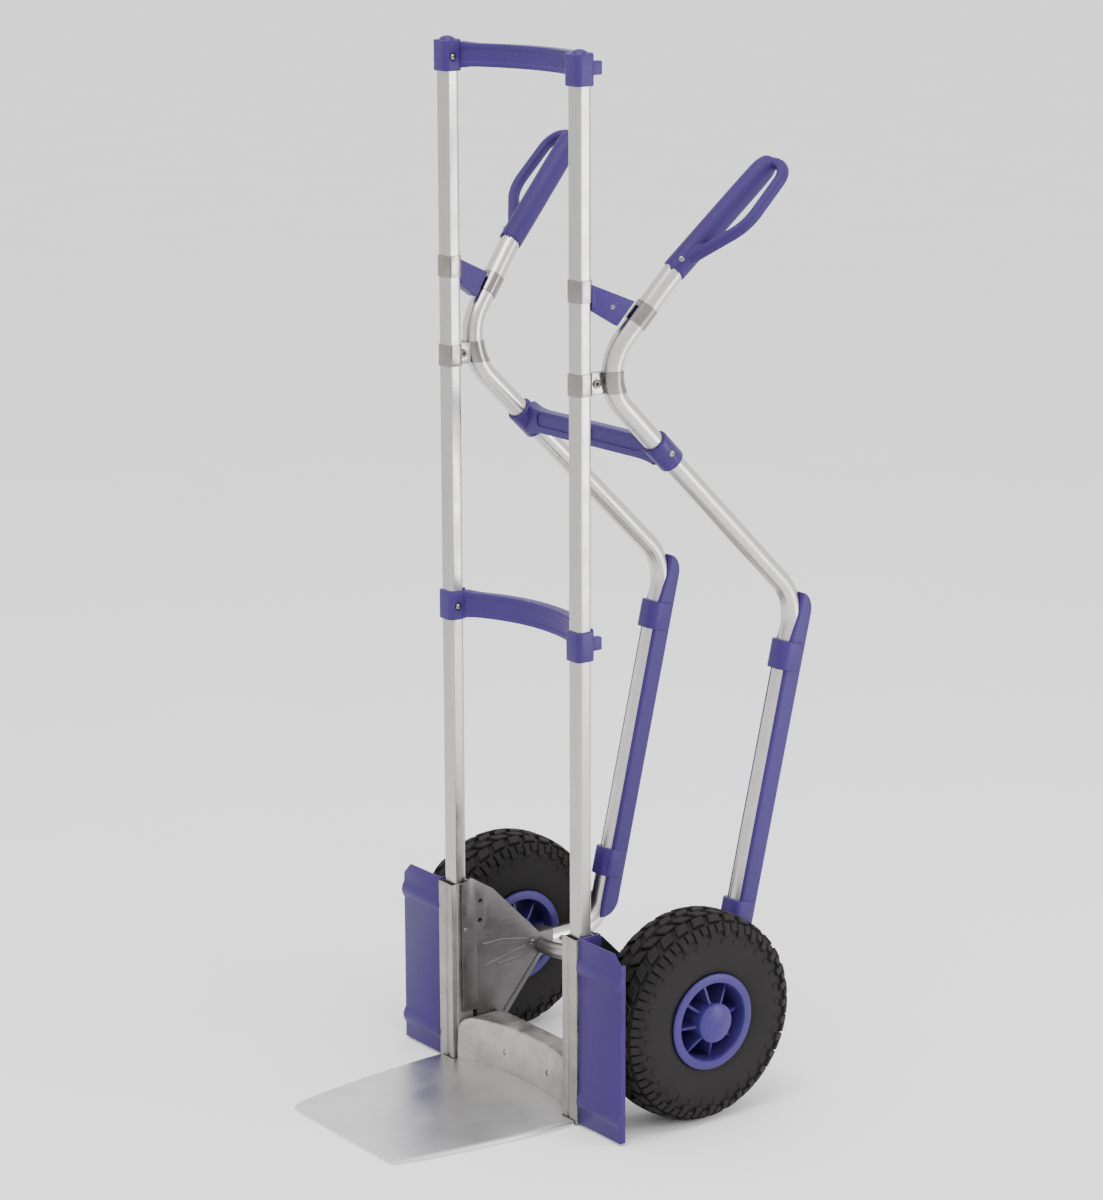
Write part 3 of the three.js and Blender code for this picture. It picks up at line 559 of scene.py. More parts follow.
def sleeve_solids(side, low, high, tab):
    """Socket around an upright, with a raised tab on its rear edge and a lug behind it."""
    x, middle = side * UPRIGHT_X, (low + high) / 2 + 2
    socket = upwards(rounded_rectangle(SLEEVE.width, SLEEVE.depth, SLEEVE.corner), low, high, x)
    rear = block(x - 10, x + 10, 8.2, SLEEVE.depth / 2 - 0.2, high - 12, high + tab)
    lug = block(x + side * 4, x + side * 13.7, 8, 22.5, middle - 8, middle + 8)
    return [socket, rear, lug]


def bowed_bar(front, bow, low, high):
    """Channel bowed towards the operator, open behind, with a shallow panel sunk along its front."""
    reach, span, stations, depth, wall = 122, 113, 48, 14, 3.5
    rings = []
    for i in range(stations + 1):
        x = reach * (2 * i / stations - 1)
        y = front + bow * (1 - abs(x / span) ** 2.2)
        flare = 2.2 * max(0.0, (abs(x) - 98) / (reach - 98)) ** 2
        bottom, top = low - flare, high + flare
        outline = [
            (0, bottom), (0, low + 5), (1.4, low + 6.4), (1.4, high - 6.4), (0, high - 5), (0, top),
            (depth, top), (depth, top - wall), (wall, top - wall), (wall, bottom + wall),
            (depth, bottom + wall), (depth, bottom),
        ]
        rings.append([(x, y + v, z) for v, z in outline])
    return skin(rings)


def dome(side, base, height, reach, steps=8):
    """Low oval dome on a cap."""
    rings = []
    for k in range(steps + 1):
        rise = math.pi / 2 * k / steps
        shrink = max(math.cos(rise), 0.03)
        rings.append([
            (side * UPRIGHT_X + reach[0] * shrink * math.cos(t), reach[1] * shrink * math.sin(t),
             base + height * math.sin(rise))
            for t in (2 * math.pi * i / 48 for i in range(48))
        ])
    return skin(rings)


SCREW_HEIGHTS = {"cap": 1265, "mid_sleeve": 594.5}
SCREW_Y = -1.5


def countersinks(place):
    """Cones sunk into both sleeves' inboard faces, where their screws sit."""
    face = UPRIGHT_X - SLEEVE.width / 2
    cone = [(-1.5, 6.4), (0, 5.2), (1.3, 4.2)]
    z = SCREW_HEIGHTS[place]
    return [turned(cone, (side * face, SCREW_Y, z), (side, 0, 0)) for _, side in SIDES]


BAR_BOW = 33.5


def top_crossbar():
    low, high = 1248, 1284.7
    solids = [bowed_bar(12.5, BAR_BOW, 1253.2, 1280.6)]
    for _, side in SIDES:
        solids += sleeve_solids(side, low, high, 0.8)
        solids.append(dome(side, high - 1.5, 6.4, (11, 10)))
    cuts = [upright_clearance(side, low - 10, UPRIGHT_HIGH + GAP) for _, side in SIDES]
    return combine("top_bar_moulding", BLUE, solids, cuts + countersinks("cap"), edge=1.3)


def mid_crossbar():
    low, high = 577.5, 613.6
    solids = [bowed_bar(9, BAR_BOW, 580.5, 611)]
    for _, side in SIDES:
        solids += sleeve_solids(side, low, high, 2.4)
    cuts = [upright_clearance(side, low - 20, high + 20) for _, side in SIDES]
    return combine("mid_bar_moulding", BLUE, solids, cuts + countersinks("mid_sleeve"), edge=1.3)


def screw(name, seat, axis, radius, height):
    """Domed head with a hexagonal socket, standing on `seat` and pointing along `axis`."""
    profile = [(-0.3, radius * 0.9), (0.0, radius), (height * 0.45, radius), (height * 0.8, radius * 0.8),
               (height, radius * 0.5)]
    axis = Vector(axis).normalized()
    socket = turned([(height * 0.4, radius * 0.42), (height + 1, radius * 0.42)], seat, axis, count=6)
    return combine(name, STEEL, [turned(profile, seat, axis)], [socket])


def sleeve_screws():
    face = UPRIGHT_X - SLEEVE.width / 2
    for name, side in SIDES:
        for place, z in SCREW_HEIGHTS.items():
            seat = (side * (face + 0.9), SCREW_Y, z)
            head = screw(f"{name}_{place}_screw_head", seat, (-side, 0, 0), 3.6, 3.2)
            piece(head, "bright_steel", f"{name}_{place}_screw")


pieces_each_side(
    (upright_tube, "satin_aluminium", "upright_tube"),
    (foot_profile, "raw_aluminium", "foot_profile"),
)
piece(top_crossbar(), "blue_plastic", "top_crossbar")
piece(mid_crossbar(), "blue_plastic", "mid_crossbar")
sleeve_screws()


# ---- handle tubes, grips and their crossbar ------------------------------------------------------

def handle_corners(side):
    return [Vector((side * x, y, z)) for x, y, z in HANDLE_CORNERS]


def handle_path(side):
    return bent_path(handle_corners(side), HANDLE_BENDS)


def on_handle(side, start, end, z):
    """The point at height z on the straight stretch between two of the handle's corners."""
    a, b = (handle_corners(side)[i] for i in (start, end))
    return a.lerp(b, (z - a.z) / (b.z - a.z))


def handle_clearance(side, grow=GAP):
    return rod(handle_path(side), HANDLE_RADIUS + grow)


def handle_tube(name, side):
    tube = pipe(handle_path(side), HANDLE_RADIUS, HANDLE_RADIUS - TUBE_WALL)
    return make_object(f"{name}_handle", tube, TUBE_METAL)


GRIP = SimpleNamespace(radius=14.6, length=176, reach=52.5, tip_reach=38)


def grip_frame(side):
    """The grip's foot, the way along it, and the way out to its knuckle guard."""
    end, foot = handle_corners(side)[:KNEE]
    along = (end - foot).normalized()
    out = X_AXIS * side
    return foot, along, (out - along * out.dot(along)).normalized()


def grip_shell(name, side):
    """Moulded sleeve whose knuckle guard grows out of its side, melted together by a fine remesh."""
    start, along, out = grip_frame(side)
    body = [(0, 0.97), (3, 1), (112, 1), (152, 0.97), (164, 0.88), (172, 0.66), (GRIP.length, 0.36)]
    body = smooth_curve([(a, GRIP.radius * r) for a, r in body])
    sleeve = turned(body, start, along, count=56)
    corners = [(8, 0), (86, GRIP.reach), (174, GRIP.tip_reach), (170, 2)]
    guard = bent_path([start + along * a + out * w for a, w in corners], [0, 50, 24, 0])
    strand = skin(sweep(guard, out, lambda i: rounded_rectangle(12.8, 13.6, 4.8)))
    shell = combine(f"{name}_grip_moulding", GRIP_BLUE, [sleeve, strand])
    remesh = shell.modifiers.new("remesh", "REMESH")
    remesh.mode = "VOXEL"
    remesh.voxel_size = 1.1 * MM
    smooth = shell.modifiers.new("smooth", "SMOOTH")
    smooth.factor = 0.5
    smooth.iterations = 6
    apply_modifiers(shell)
    return carve(shell, handle_clearance(side))


CROSSBAR = SimpleNamespace(front=110, back=126, low=801, high=829, half=128, clamp_z=814.2)


def handle_crossbar():
    """Channel bar between the handle tubes, flaring at its ends into two slanted clamps."""
    front, back, low, high, half = CROSSBAR.front, CROSSBAR.back, CROSSBAR.low, CROSSBAR.high, CROSSBAR.half
    wall, stations = 3.5, 48
    rings = []
    for i in range(stations + 1):
        x = half * (2 * i / stations - 1)
        flare = max(0.0, (abs(x) - 96) / (half - 96)) ** 2
        bottom, top = low - 4 * flare, high + 7 * flare
        outline = [(front, bottom), (front, top), (back, top), (back, top - wall), (front + wall, top - wall),
                   (front + wall, bottom + wall), (back, bottom + wall), (back, bottom)]
        rings.append([(x, y, z) for y, z in outline])
    middle = (low + high) / 2
    recess = [(x, z + middle + 3) for x, z in rounded_rectangle(208, 17, 6)]
    panel = backwards(recess, front - 2, front + 1.8)
    boss = turned([(0, 7), (1.8, 6.4)], (0, front + 2, middle + 2), (0, -1, 0))
    clamps = []
    for _, side in SIDES:
        centre = on_handle(side, KNEE, HEEL, CROSSBAR.clamp_z)
        along = (handle_corners(side)[HEEL] - handle_corners(side)[KNEE]).normalized()
        clamps.append(rod([centre - along * 19, centre + along * 19], HANDLE_RADIUS + 4))
    bar = combine("handle_bar_moulding", BLUE, [skin(rings)], [panel], edge=1.2)
    weld(bar, boss, *clamps, edge=1.2)
    return carve(bar, *(handle_clearance(side) for _, side in SIDES))


for name, side in SIDES:
    piece(handle_tube(name, side), "satin_aluminium", f"{name}_handle_tube")
    piece(grip_shell(name, side), "grip_plastic", f"{name}_grip")
    start, along, out = grip_frame(side)
    facing = Vector((side * 0.55, -0.83, 0))
    facing = (facing - along * facing.dot(along)).normalized()
    grip_seat = start + along * 13 + facing * (GRIP.radius - 0.3)
    piece(screw(f"{name}_grip_screw", grip_seat, facing, 3.4, 1.8), "bright_steel")
piece(handle_crossbar(), "blue_plastic", "handle_crossbar")
for name, side in SIDES:
    seat = on_handle(side, KNEE, HEEL, CROSSBAR.clamp_z) + X_AXIS * side * (HANDLE_RADIUS + 3.9)
    piece(screw(f"{name}_clamp_screw", seat, (side, 0, 0), 4, 2.4), "bright_steel", f"{name}_crossbar_screw")
bar_seat = (0, CROSSBAR.front + 0.3, (CROSSBAR.low + CROSSBAR.high) / 2 + 2)
piece(screw("handle_bar_screw", bar_seat, (0, -1, 0), 3.2, 1.6), "bright_steel")


# ---- steel bands, spacers and straps -------------------------------------------------------------

BAND = SimpleNamespace(low=1001.7, high=1027.9, sheet=1.2)
STRAP = SimpleNamespace(
    low=893.1, high=919.1, sheet=1.4, waist=9, waist_x=134, waist_y=18.5, hole_z=906,
)


def upright_band(name, side):
    ring = upwards(upright_outline(GAP + BAND.sheet), BAND.low, BAND.high, side * UPRIGHT_X)
    clearance = upright_clearance(side, BAND.low - 10, BAND.high + 10)
    return combine(f"{name}_upright_clip", STEEL, [ring], [clearance], edge=0.35)


def handle_band(name, side):
    centre = on_handle(side, GRIP_FOOT, KNEE, 982.7)
    along = (handle_corners(side)[KNEE] - handle_corners(side)[GRIP_FOOT]).normalized()
    bore = HANDLE_RADIUS + GAP
    band = pipe([centre - along * 13, centre + along * 13], bore + BAND.sheet, bore)
    return make_object(f"{name}_handle_clip", band, STEEL)


def spacer_frame(side):
    """The upright's centre at Z = 0, the way to the handle tube, and the way out of the wedge's face."""
    start = Vector((side * UPRIGHT_X, 0, 0))
    towards = on_handle(side, GRIP_FOOT, KNEE, 985) - start
    towards.z = 0
    towards.normalize()
    across = towards.cross(Z_AXIS)
    return start, towards, across if across.x * side > 0 else -across


def spacer(name, side):
    """Moulded wedge that holds the handle tube off the upright, with a saddle at the upright."""
    start, towards, across = spacer_frame(side)

    def slab(outline, half):
        face = [start + towards * a + Z_AXIS * z for a, z in outline]
        return skin([[p + across * t for p in face] for t in (-half, half)])

    wedge = slab([(4, 997), (4, 1026), (66, 1000), (44, 972)], 7)
    saddle = slab([(4, 998), (4, 1025), (17, 1020), (17, 993)], 8.6)
    band = upwards(upright_outline(2 * GAP + BAND.sheet), 940, 1060, side * UPRIGHT_X)
    tube = handle_clearance(side, 2 * GAP + BAND.sheet)
    return combine(f"{name}_spacer_moulding", BLUE, [wedge, saddle], [band, tube], edge=1.4)


def spacer_screw(name, side):
    start, towards, across = spacer_frame(side)
    seat = start + towards * 38 + Z_AXIS * 995 + across * 6.8
    return screw(f"{name}_spacer_screw", seat, across, 2.8, 1.4)


def strap(name, side):
    """Figure-eight strap, pinched flat between the upright and the handle tube."""
    low, high = STRAP.low, STRAP.high
    grow = GAP + STRAP.sheet
    front = upwards(upright_outline(grow), low, high, side * UPRIGHT_X)
    middle, half = side * STRAP.waist_x, STRAP.waist / 2
    waist = block(middle - half, middle + half, 8, 30, low, high)
    band = combine(f"{name}_strap_band", STEEL, [front, waist], edge=0.5)
    rear = make_object("rear_loop", handle_clearance(side, grow), STEEL)
    boolean(rear, make_object("level", block(-200, 200, 0, 80, low, high), STEEL), "INTERSECT")
    boolean(band, rear, "UNION")
    y, z = STRAP.waist_y, STRAP.hole_z
    hole = rod([(middle - 20, y, z), (middle + 20, y, z)], 3.6, Z_AXIS)
    return carve(band, upright_clearance(side, low - 10, high + 10), handle_clearance(side), hole)


def strap_rivet(name, side):
    """Hollow rivet: a tube with a rolled lip at each end."""
    reach = STRAP.waist / 2
    lip = [(1.8, 2.2), (2.2, 3.6), (1.6, 5.2), (GAP, 5.6), (GAP, 3.3)]
    profile = [(-reach - w, r) for w, r in lip]
    profile += [(-w, r) for w, r in reversed(profile)]
    x, y, z = side * STRAP.waist_x, STRAP.waist_y, STRAP.hole_z
    rings = [[(x + w, y + r * u, z + r * v) for w, r in profile] for u, v in circle(1, 40)]
    return make_object(f"{name}_hollow_rivet", skin(rings, looped=True), STEEL)


pieces_each_side(
    (upright_band, "bright_steel", "upright_band"),
    (handle_band, "bright_steel", "handle_band"),
    (spacer, "blue_plastic", "spacer"),
    (spacer_screw, "bright_steel", None),
    (strap, "bright_steel", "strap"),
    (strap_rivet, "bright_steel", "strap_rivet"),
)


# ---- stair skids and their clips -----------------------------------------------------------------

SKID = SimpleNamespace(half=15, rear=18.5, lip=7.5, corner=4, top=-9, bottom=472, round_off=25)
CLIP = SimpleNamespace(
    half=16.7, front=17.5, rear=13, corner=12, length=36, starts={"upper": 53, "lower": 381},
)


def down_the_run(side, distances, section):
    """A solid along the handle tube's straight lower run: (x, back) pairs at each distance down it."""
    start, end = (handle_corners(side)[i] for i in (HEEL, ANKLE))
    along = (end - start).normalized()
    back = X_AXIS.cross(along)
    rings = []
    for distance in distances:
        centre = start + along * distance
        rings.append([centre + back * b + X_AXIS * x for x, b in section(distance)])
    return skin(rings)


def skid_section(distance):
    """The skid's outline: lips in front, round cheeks, and a back that falls off at its ends."""
    top, bottom, rear, half = SKID.top, SKID.bottom, SKID.rear, SKID.half
    from_end = min(1.0, (distance - top) / SKID.round_off, (bottom - distance) / SKID.round_off)
    front = -SKID.lip + 5 * max(0.0, min(1.0, (55 - distance) / 40))
    back = front + 2 + (rear - front - 2) * math.sqrt(max(0.0, 1 - (1 - from_end) ** 2))
    shoulder = max(front + 0.8, back - SKID.corner)
    cheek = min(front + 4, shoulder - 0.4)
    outline = [(11.8 + (half - 11.8) * math.sin(t), front + (cheek - front) * (1 - math.cos(t)))
               for t in quarter(5)]
    outline += [(half - SKID.corner * (1 - math.cos(t)), shoulder + (back - shoulder) * math.sin(t))
                for t in quarter(6)]
    return outline + [(-x, b) for x, b in reversed(outline)]


def skid_rail(name, side):
    """Moulded profile snapped over the back of the tube: its front edge is straight, its ends round off."""
    steps = [SKID.round_off * (1 - math.cos(math.pi / 2 * k / 14)) for k in range(15)]
    distances = [SKID.top + d for d in steps]
    distances += [20 + 7 * k for k in range(1, 6)] + list(range(80, 441, 40))
    distances += [SKID.bottom - d for d in reversed(steps)]
    body = down_the_run(side, distances, skid_section)
    return combine(f"{name}_skid_moulding", BLUE, [body], [handle_clearance(side)])


def skid_clip(name, side, place):
    """Clip that reaches round the front of the tube and over the skid's sides."""
    start = CLIP.starts[place]
    half, front, rear, corner = CLIP.half, CLIP.front, CLIP.rear, CLIP.corner
    outside = [(half - corner + corner * math.sin(t), corner - front - corner * math.cos(t))
               for t in quarter(10)]
    outside += [(half, rear), (-half, rear)] + [(-x, b) for x, b in reversed(outside)]
    room = SKID.half + GAP
    inside = [(12, -SKID.lip - GAP), (room, 3 - SKID.lip), (room, rear + 5)]
    inside += [(-x, b) for x, b in reversed(inside)]
    end = start + CLIP.length
    body = down_the_run(side, (start, end), lambda distance: outside)
    cuts = [down_the_run(side, (start - 5, end + 5), lambda distance: inside), handle_clearance(side)]
    return combine(f"{name}_{place}_clip_moulding", BLUE, [body], cuts, edge=1.2)


pieces_each_side(
    (skid_rail, "blue_plastic", "skid_rail"),
    (lambda name, side: skid_clip(name, side, "upper"), "blue_plastic", "upper_skid_clip"),
    (lambda name, side: skid_clip(name, side, "lower"), "blue_plastic", "lower_skid_clip"),
)


# ---- gussets, axle, toe plate and wheel guards ---------------------------------------------------

GUSSET = SimpleNamespace(inner=112.2, outer=115.2, plate=113.6)
AXLE = SimpleNamespace(radius=10, bore=8.4, bow=36, bow_from=100, end=140.5)


def gusset_plate(name, side):
    """Pressed plate: a raised flange by the upright, a sunk triangle, and ridges that run to the tip."""
    def sheet(outline, inner):
        return sideways(outline, side * inner, side * GUSSET.outer)

    whole = [(-3, 66), (-3, 236), (12, 242), (46, 221), (118, 148)]
    tip, radius = (112, 134), 15
    whole += [(tip[0] + radius * math.cos(t), tip[1] + radius * math.sin(t))
              for t in (math.radians(a) for a in range(40, -50, -10))]
    whole += [(66, 50), (19.5, 50), (19.5, 66)]
    whole = [(min(y, 125), z) for y, z in whole]
    flange = [(-3, 66), (-3, 236), (12, 242), (34, 228.4)]
    flange += [(26 + 8 * math.cos(t), 181 + 8 * math.sin(t)) for t in (-turn for turn in quarter(6))]
    flange += [(19.5, 170), (19.5, 66)]
    rim = [(124, 121), (119, 124), (62, 57), (60, 50), (66, 50)]
    ridges = [
        [(30, 119.5), (62, 127), (96, 134)],
        [(52, 118), (76, 120.5), (103, 125)],
        [(28, 150), (60, 150), (98, 143)],
    ]
    inner = GUSSET.inner
    solids = [sheet(whole, GUSSET.plate), sheet(flange, inner), sheet(rim, inner + 0.2)]
    plate = combine(f"{name}_gusset_pressing", SHADED_GUSSET_METAL, solids, edge=0.45)
    for line in ridges:
        path = [Vector((side * (GUSSET.plate + 1.6), y, z)) for y, z in line]
        weld(plate, rod(path, 2.4, count=24))
    for y, z, hole in ((25, 209, 3), (24, 184, 3), (AXLE_Y, AXLE_Z, AXLE.radius + GAP)):
        carve(plate, rod([(side * 100, y, z), (side * 130, y, z)], hole, Z_AXIS))
    return plate


def axle_lug(name, side):
    """Cast lug that holds the axle tube and plugs the handle tube's open end."""
    end = HANDLE_CORNERS[TO_THE_AXLE]
    xs = sorted((side * (GUSSET.outer + GAP), side * 141))
    body = block(*xs, 106, end[1] - GAP, 114, 147)
    plug = rod([(side * end[0], 130, end[2]), (side * end[0], 168, end[2])], HANDLE_RADIUS - TUBE_WALL - GAP)
    hole = rod([(-160, AXLE_Y, AXLE_Z), (160, AXLE_Y, AXLE_Z)], AXLE.radius + GAP, Z_AXIS)
    return combine(f"{name}_axle_casting", SHADED_GUSSET_METAL, [body, plug], [hole], edge=2.5)


def axle_tube():
    """Cross tube, straight through the lugs and bowed towards the operator between the gussets."""
    reach, steps = AXLE.bow_from, 32
    path = [(-AXLE.end, AXLE_Y, AXLE_Z)]
    for i in range(steps + 1):
        x = reach * (2 * i / steps - 1)
        path.append((x, AXLE_Y + AXLE.bow * (1 + math.cos(math.pi * x / reach)) / 2, AXLE_Z))
    path.append((AXLE.end, AXLE_Y, AXLE_Z))
    return make_object("axle_cross_tube", pipe(path, AXLE.radius, AXLE.bore, Z_AXIS), AXLE_METAL)


def axle_stub(name, side):
    profile = [(112, 7.6), (112.5, 8.1), (141, 8.1), (141, 10.4), (141.6, 11), (156.9, 11), (157.5, 10.4),
               (157.5, 7.2), (239.7, 7.2), (240.5, 6.4)]
    stub = turned(profile, (0, AXLE_Y, AXLE_Z), (side, 0, 0), 48)
    return make_object(f"{name}_axle_spindle", stub, STEEL)


TOE = SimpleNamespace(front=-262, back=-28, half_front=110.6, half_back=141, thick=6, rear=-18)
RISER = SimpleNamespace(half=115.2, low=1, high=60, sheet=3, shelf_back=52)


def riser_foot(x):
    """How far back the riser's foot lies at x."""
    return -12 + 25 * (1 - abs(x / 118) ** 3)


def toe_half(y):
    """Half the toe plate's width at y: round front corners, then slightly bowed sides."""
    front, back, corner = TOE.front, TOE.back, 14
    ahead = y - front
    if ahead < corner:
        return TOE.half_front + 3 - corner + math.sqrt(max(0.0, corner ** 2 - (corner - ahead) ** 2))
    a, b, c = front + corner, front + 130, back
    t = min(1.0, (y - a) / (c - a))
    for _ in range(20):
        gap = (1 - t) ** 2 * a + 2 * t * (1 - t) * b + t * t * c - y
        t -= gap / (2 * (1 - t) * (b - a) + 2 * t * (c - b))
        t = min(1.0, max(0.0, t))
    return ((1 - t) ** 2 * (TOE.half_front + 3) + 2 * t * (1 - t) * (TOE.half_back - 2)
            + t * t * TOE.half_back)


def toe_top(x, y):
    """Height of the toe plate's upper face: a ramped lip in front and a faint bend near the riser."""
    lip = min(1.0, max(0.0, (y - TOE.front) / 30))
    ramp = 3.4 * (1 - math.sin(lip * math.pi / 2) ** 0.8)
    bend = min(1.0, max(0.0, (y - riser_foot(x) + 62) / 8))
    return TOE.thick - ramp - 0.45 * (1 - bend * bend * (3 - 2 * bend)) * (1 if lip >= 1 else lip)


def toe_plate():
    """Plate built across in strips, with its rear edge cut to the riser's curve."""
    front, edge, columns = TOE.front, 1.8, 45
    rows = [front + 14 * (1 - math.cos(math.pi / 2 * k / 8)) for k in range(8)]
    rows += [front + 14 + 4 * k for k in range(72)]
    strips = []
    for y in rows:
        half = max(toe_half(y), 4)
        top = [(half - edge) * (2 * k / (columns - 1) - 1) for k in range(columns)]
        top = [(x, y, max(1.6, toe_top(x, y))) for x in top]
        left, right = top[0][2], top[-1][2]
        strips.append([(-half + 0.8, y, 0), (-half, y, 0.8), (-half, y, max(0.9, left - 1.7)),
                       (-half + 0.6, y, max(1.1, left - 0.5)), *top, (half - 0.6, y, max(1.1, right - 0.5)),
                       (half, y, max(0.9, right - 1.7)), (half, y, 0.8), (half - 0.8, y, 0)])
    curve = [(RISER.half * (2 * k / 40 - 1)) for k in range(41)]
    behind = [(-160, TOE.rear), (-RISER.half, TOE.rear)]
    behind += [(x, riser_foot(x) - GAP) for x in curve]
    behind += [(RISER.half, TOE.rear), (160, TOE.rear), (160, 60), (-160, 60)]
    return combine("toe_plate_sheet", TOE_METAL, [skin(strips)], [upwards(behind, -5, 20)])


def toe_riser():
    """Folded sheet: a bowed wall behind the toe plate's rear edge and a shelf behind its top."""
    half, low, high, sheet, shelf = RISER.half, RISER.low, RISER.high, RISER.sheet, RISER.shelf_back
    stations, corner, fold = 64, 14, 5
    rings = []
    for i in range(stations + 1):
        x = half * math.sin(math.pi / 2 * (2 * i / stations - 1))
        inset = max(0.0, abs(x) - (half - corner)) / corner
        top = high - 9 * (1 - math.sqrt(max(0.0, 1 - inset ** 2)))
        lean = 3 + 13 * (1 - (x / half) ** 2)
        rise = [0.08 * k for k in range(12)]
        wall = [(riser_foot(x) + lean * t ** 3, low + (top - fold - low) * t / 0.88) for t in rise]
        brow = wall[-1][0]
        outer = [(brow + fold * (1 - math.cos(t)), top - fold + fold * math.sin(t))
                 for t in (math.pi / 2 * k / 6 for k in range(1, 7))]
        inner = [(brow + fold - (fold - sheet) * math.cos(t), top - fold + (fold - sheet) * math.sin(t))
                 for t in (math.pi / 2 * (1 - k / 6) for k in range(6))]
        section = [*wall, *outer, (shelf, top), (shelf, top - sheet), *inner]
        section += [(y + sheet, z) for y, z in reversed(wall)]
        rings.append([(x, y, z) for y, z in section])
    holes = [rod([(x, -60, 30), (x, 60, 30)], 4) for x in (-44.6, 44.6)]
    reliefs = []
    for _, side in SIDES:
        xs = sorted((side * (GUSSET.inner - GAP), side * 130))
        reliefs.append(block(*xs, 18, 80, 40, 70))
    return combine("toe_riser_sheet", RISER_METAL, [skin(rings)], holes + reliefs, edge=0.4)


GUARD = SimpleNamespace(
    inner=144.6, outer=227, front=-13.5, sheet=3, low=3, high=239,
    swell=4, swell_half=11, swells=(33, 203), chamfer=14,
)


def wheel_guard(name, side):
    """Moulded guard ahead of the wheel: panel with two swellings, and a wall along the foot profile."""
    inner, outer, front, sheet = GUARD.inner, GUARD.outer, GUARD.front, GUARD.sheet
    low, high = GUARD.low, GUARD.high
    half = GUARD.swell_half
    heights = [low]
    for middle in GUARD.swells:
        heights += [middle - half + 2 * half * k / 12 for k in range(13)]
    heights.append(high)
    rings = []
    for z in heights:
        off = min(abs(z - middle) for middle in GUARD.swells)
        y = front - (GUARD.swell * math.cos(off / (2 * half) * math.pi) if off < half else 0)
        outline = [
            (inner, y), (outer, y), (outer, front + 8), (outer - 2.5, front + 8), (outer - 2.5, y + sheet),
            (inner + 2.5, y + sheet), (inner + 2.5, 18.5), (inner - 7, 18.5), (inner - 7, FOOT.back + GAP),
            (inner, FOOT.back + GAP),
        ]
        rings.append([(side * x, v, z) for x, v in outline])
    reach = GUARD.chamfer + 4
    chamfer = [(outer - reach, high + 4), (outer + 4, high - reach), (outer + 4, high + 4)]
    cut = backwards([(side * x, z) for x, z in chamfer], -40, 10)
    guard = combine(f"{name}_guard_moulding", SHADED_GUARD_BLUE, [skin(rings)], [cut])
    return bevel(guard, 0.7)


for name, side in SIDES:
    piece(gusset_plate(name, side), "raw_aluminium", f"{name}_gusset")
    piece(axle_lug(name, side), "raw_aluminium", f"{name}_axle_lug")
    piece(axle_stub(name, side), "bright_steel", f"{name}_axle_stub")
    piece(wheel_guard(name, side), "blue_plastic", f"{name}_wheel_guard")
    bolt_x = side * (HANDLE_CORNERS[TO_THE_AXLE][0] - HANDLE_RADIUS)
    bolt = screw(f"{name}_lug_bolt_head", (bolt_x, 157, 131), (-side, 0, 0), 4, 2.4)
    piece(bolt, "bright_steel", f"{name}_lug_bolt")
    for label, y, z, radius in (("tip", 106, 137, 3.6), ("flange", 1, 176, 2.6)):
        seat = (side * (GUSSET.plate if label == "tip" else GUSSET.inner), y, z)
        piece(screw(f"{name}_gusset_{label}_rivet", seat, (-side, 0, 0), radius, 1.6), "bright_steel")
piece(axle_tube(), "satin_aluminium", "axle_tube")
piece(toe_plate(), "toe_aluminium", "toe_plate")
piece(toe_riser(), "raw_aluminium", "toe_riser")


# ---- wheels --------------------------------------------------------------------------------------

# The tread: distances are along the tyre's skin from its crown, fills are shares of the pitch.
TREAD_TOP = 130
TREAD_COUNT = 32
BLOCK = SimpleNamespace(rows=(-22.5, -7.5, 7.5, 22.5), half=6.4, fill=0.72, height=4.6, skew=0.028)
SHOULDER = SimpleNamespace(start=31.5, ends=(47, 41), fill=0.44, height=3.8)
WALL_RIB = SimpleNamespace(start=50, end=56, fill=0.25, height=0.9)


def tyre_meridian():
    """The tyre's outer line from its crown to its outboard bead, as (outboard, radius)."""
    crown = TREAD_TOP - BLOCK.height
    return smooth_curve([
        (0, crown), (12, crown - 0.4), (24, crown - 2.6), (32, 118), (37, 108.5), (38.8, 96), (39, 82),
        (38.3, 71), (37, 65), (35.6, 60.8),
    ], 6)


def along_meridian(line, distance):
    """(place, outward normal) on the tyre's line, `distance` from the crown; negative runs inboard."""
    flip = -1 if distance < 0 else 1
    left = abs(distance)
    for a, b in zip(line, line[1:]):
        span = math.dist(a, b)
        if left <= span:
            break
        left -= span
    t = left / span
    along = ((b[0] - a[0]) / span, (b[1] - a[1]) / span)
    return (flip * (a[0] + along[0] * span * t), a[1] + along[1] * span * t), (-flip * along[1], along[0])


def tread_block(line, side, turn, width, low, high, height, skew=0.0):
    """A rubber block on the tyre, `width` radians round it, between two distances from its crown."""
    steps = 3
    rings = []
    for lift, shrink in ((-1.5, 1.0), (height * 0.75, 0.95), (height, 0.82)):
        middle, half = (low + high) / 2, (high - low) / 2 * shrink
        ticks = [-1 + 2 * k / steps for k in range(steps)]
        edge = [(u, -1) for u in ticks] + [(1, v) for v in ticks]
        edge += [(-u, -v) for u, v in edge]
        ring = []
        for u, v in edge:
            (w, r), (nw, nr) = along_meridian(line, middle + half * v)
            angle = turn + width / 2 * shrink * u + skew * v
            w, r = w + nw * lift, r + nr * lift
            ring.append(on_wheel(side, w, r, angle))
        rings.append(ring)
    return skin(rings)


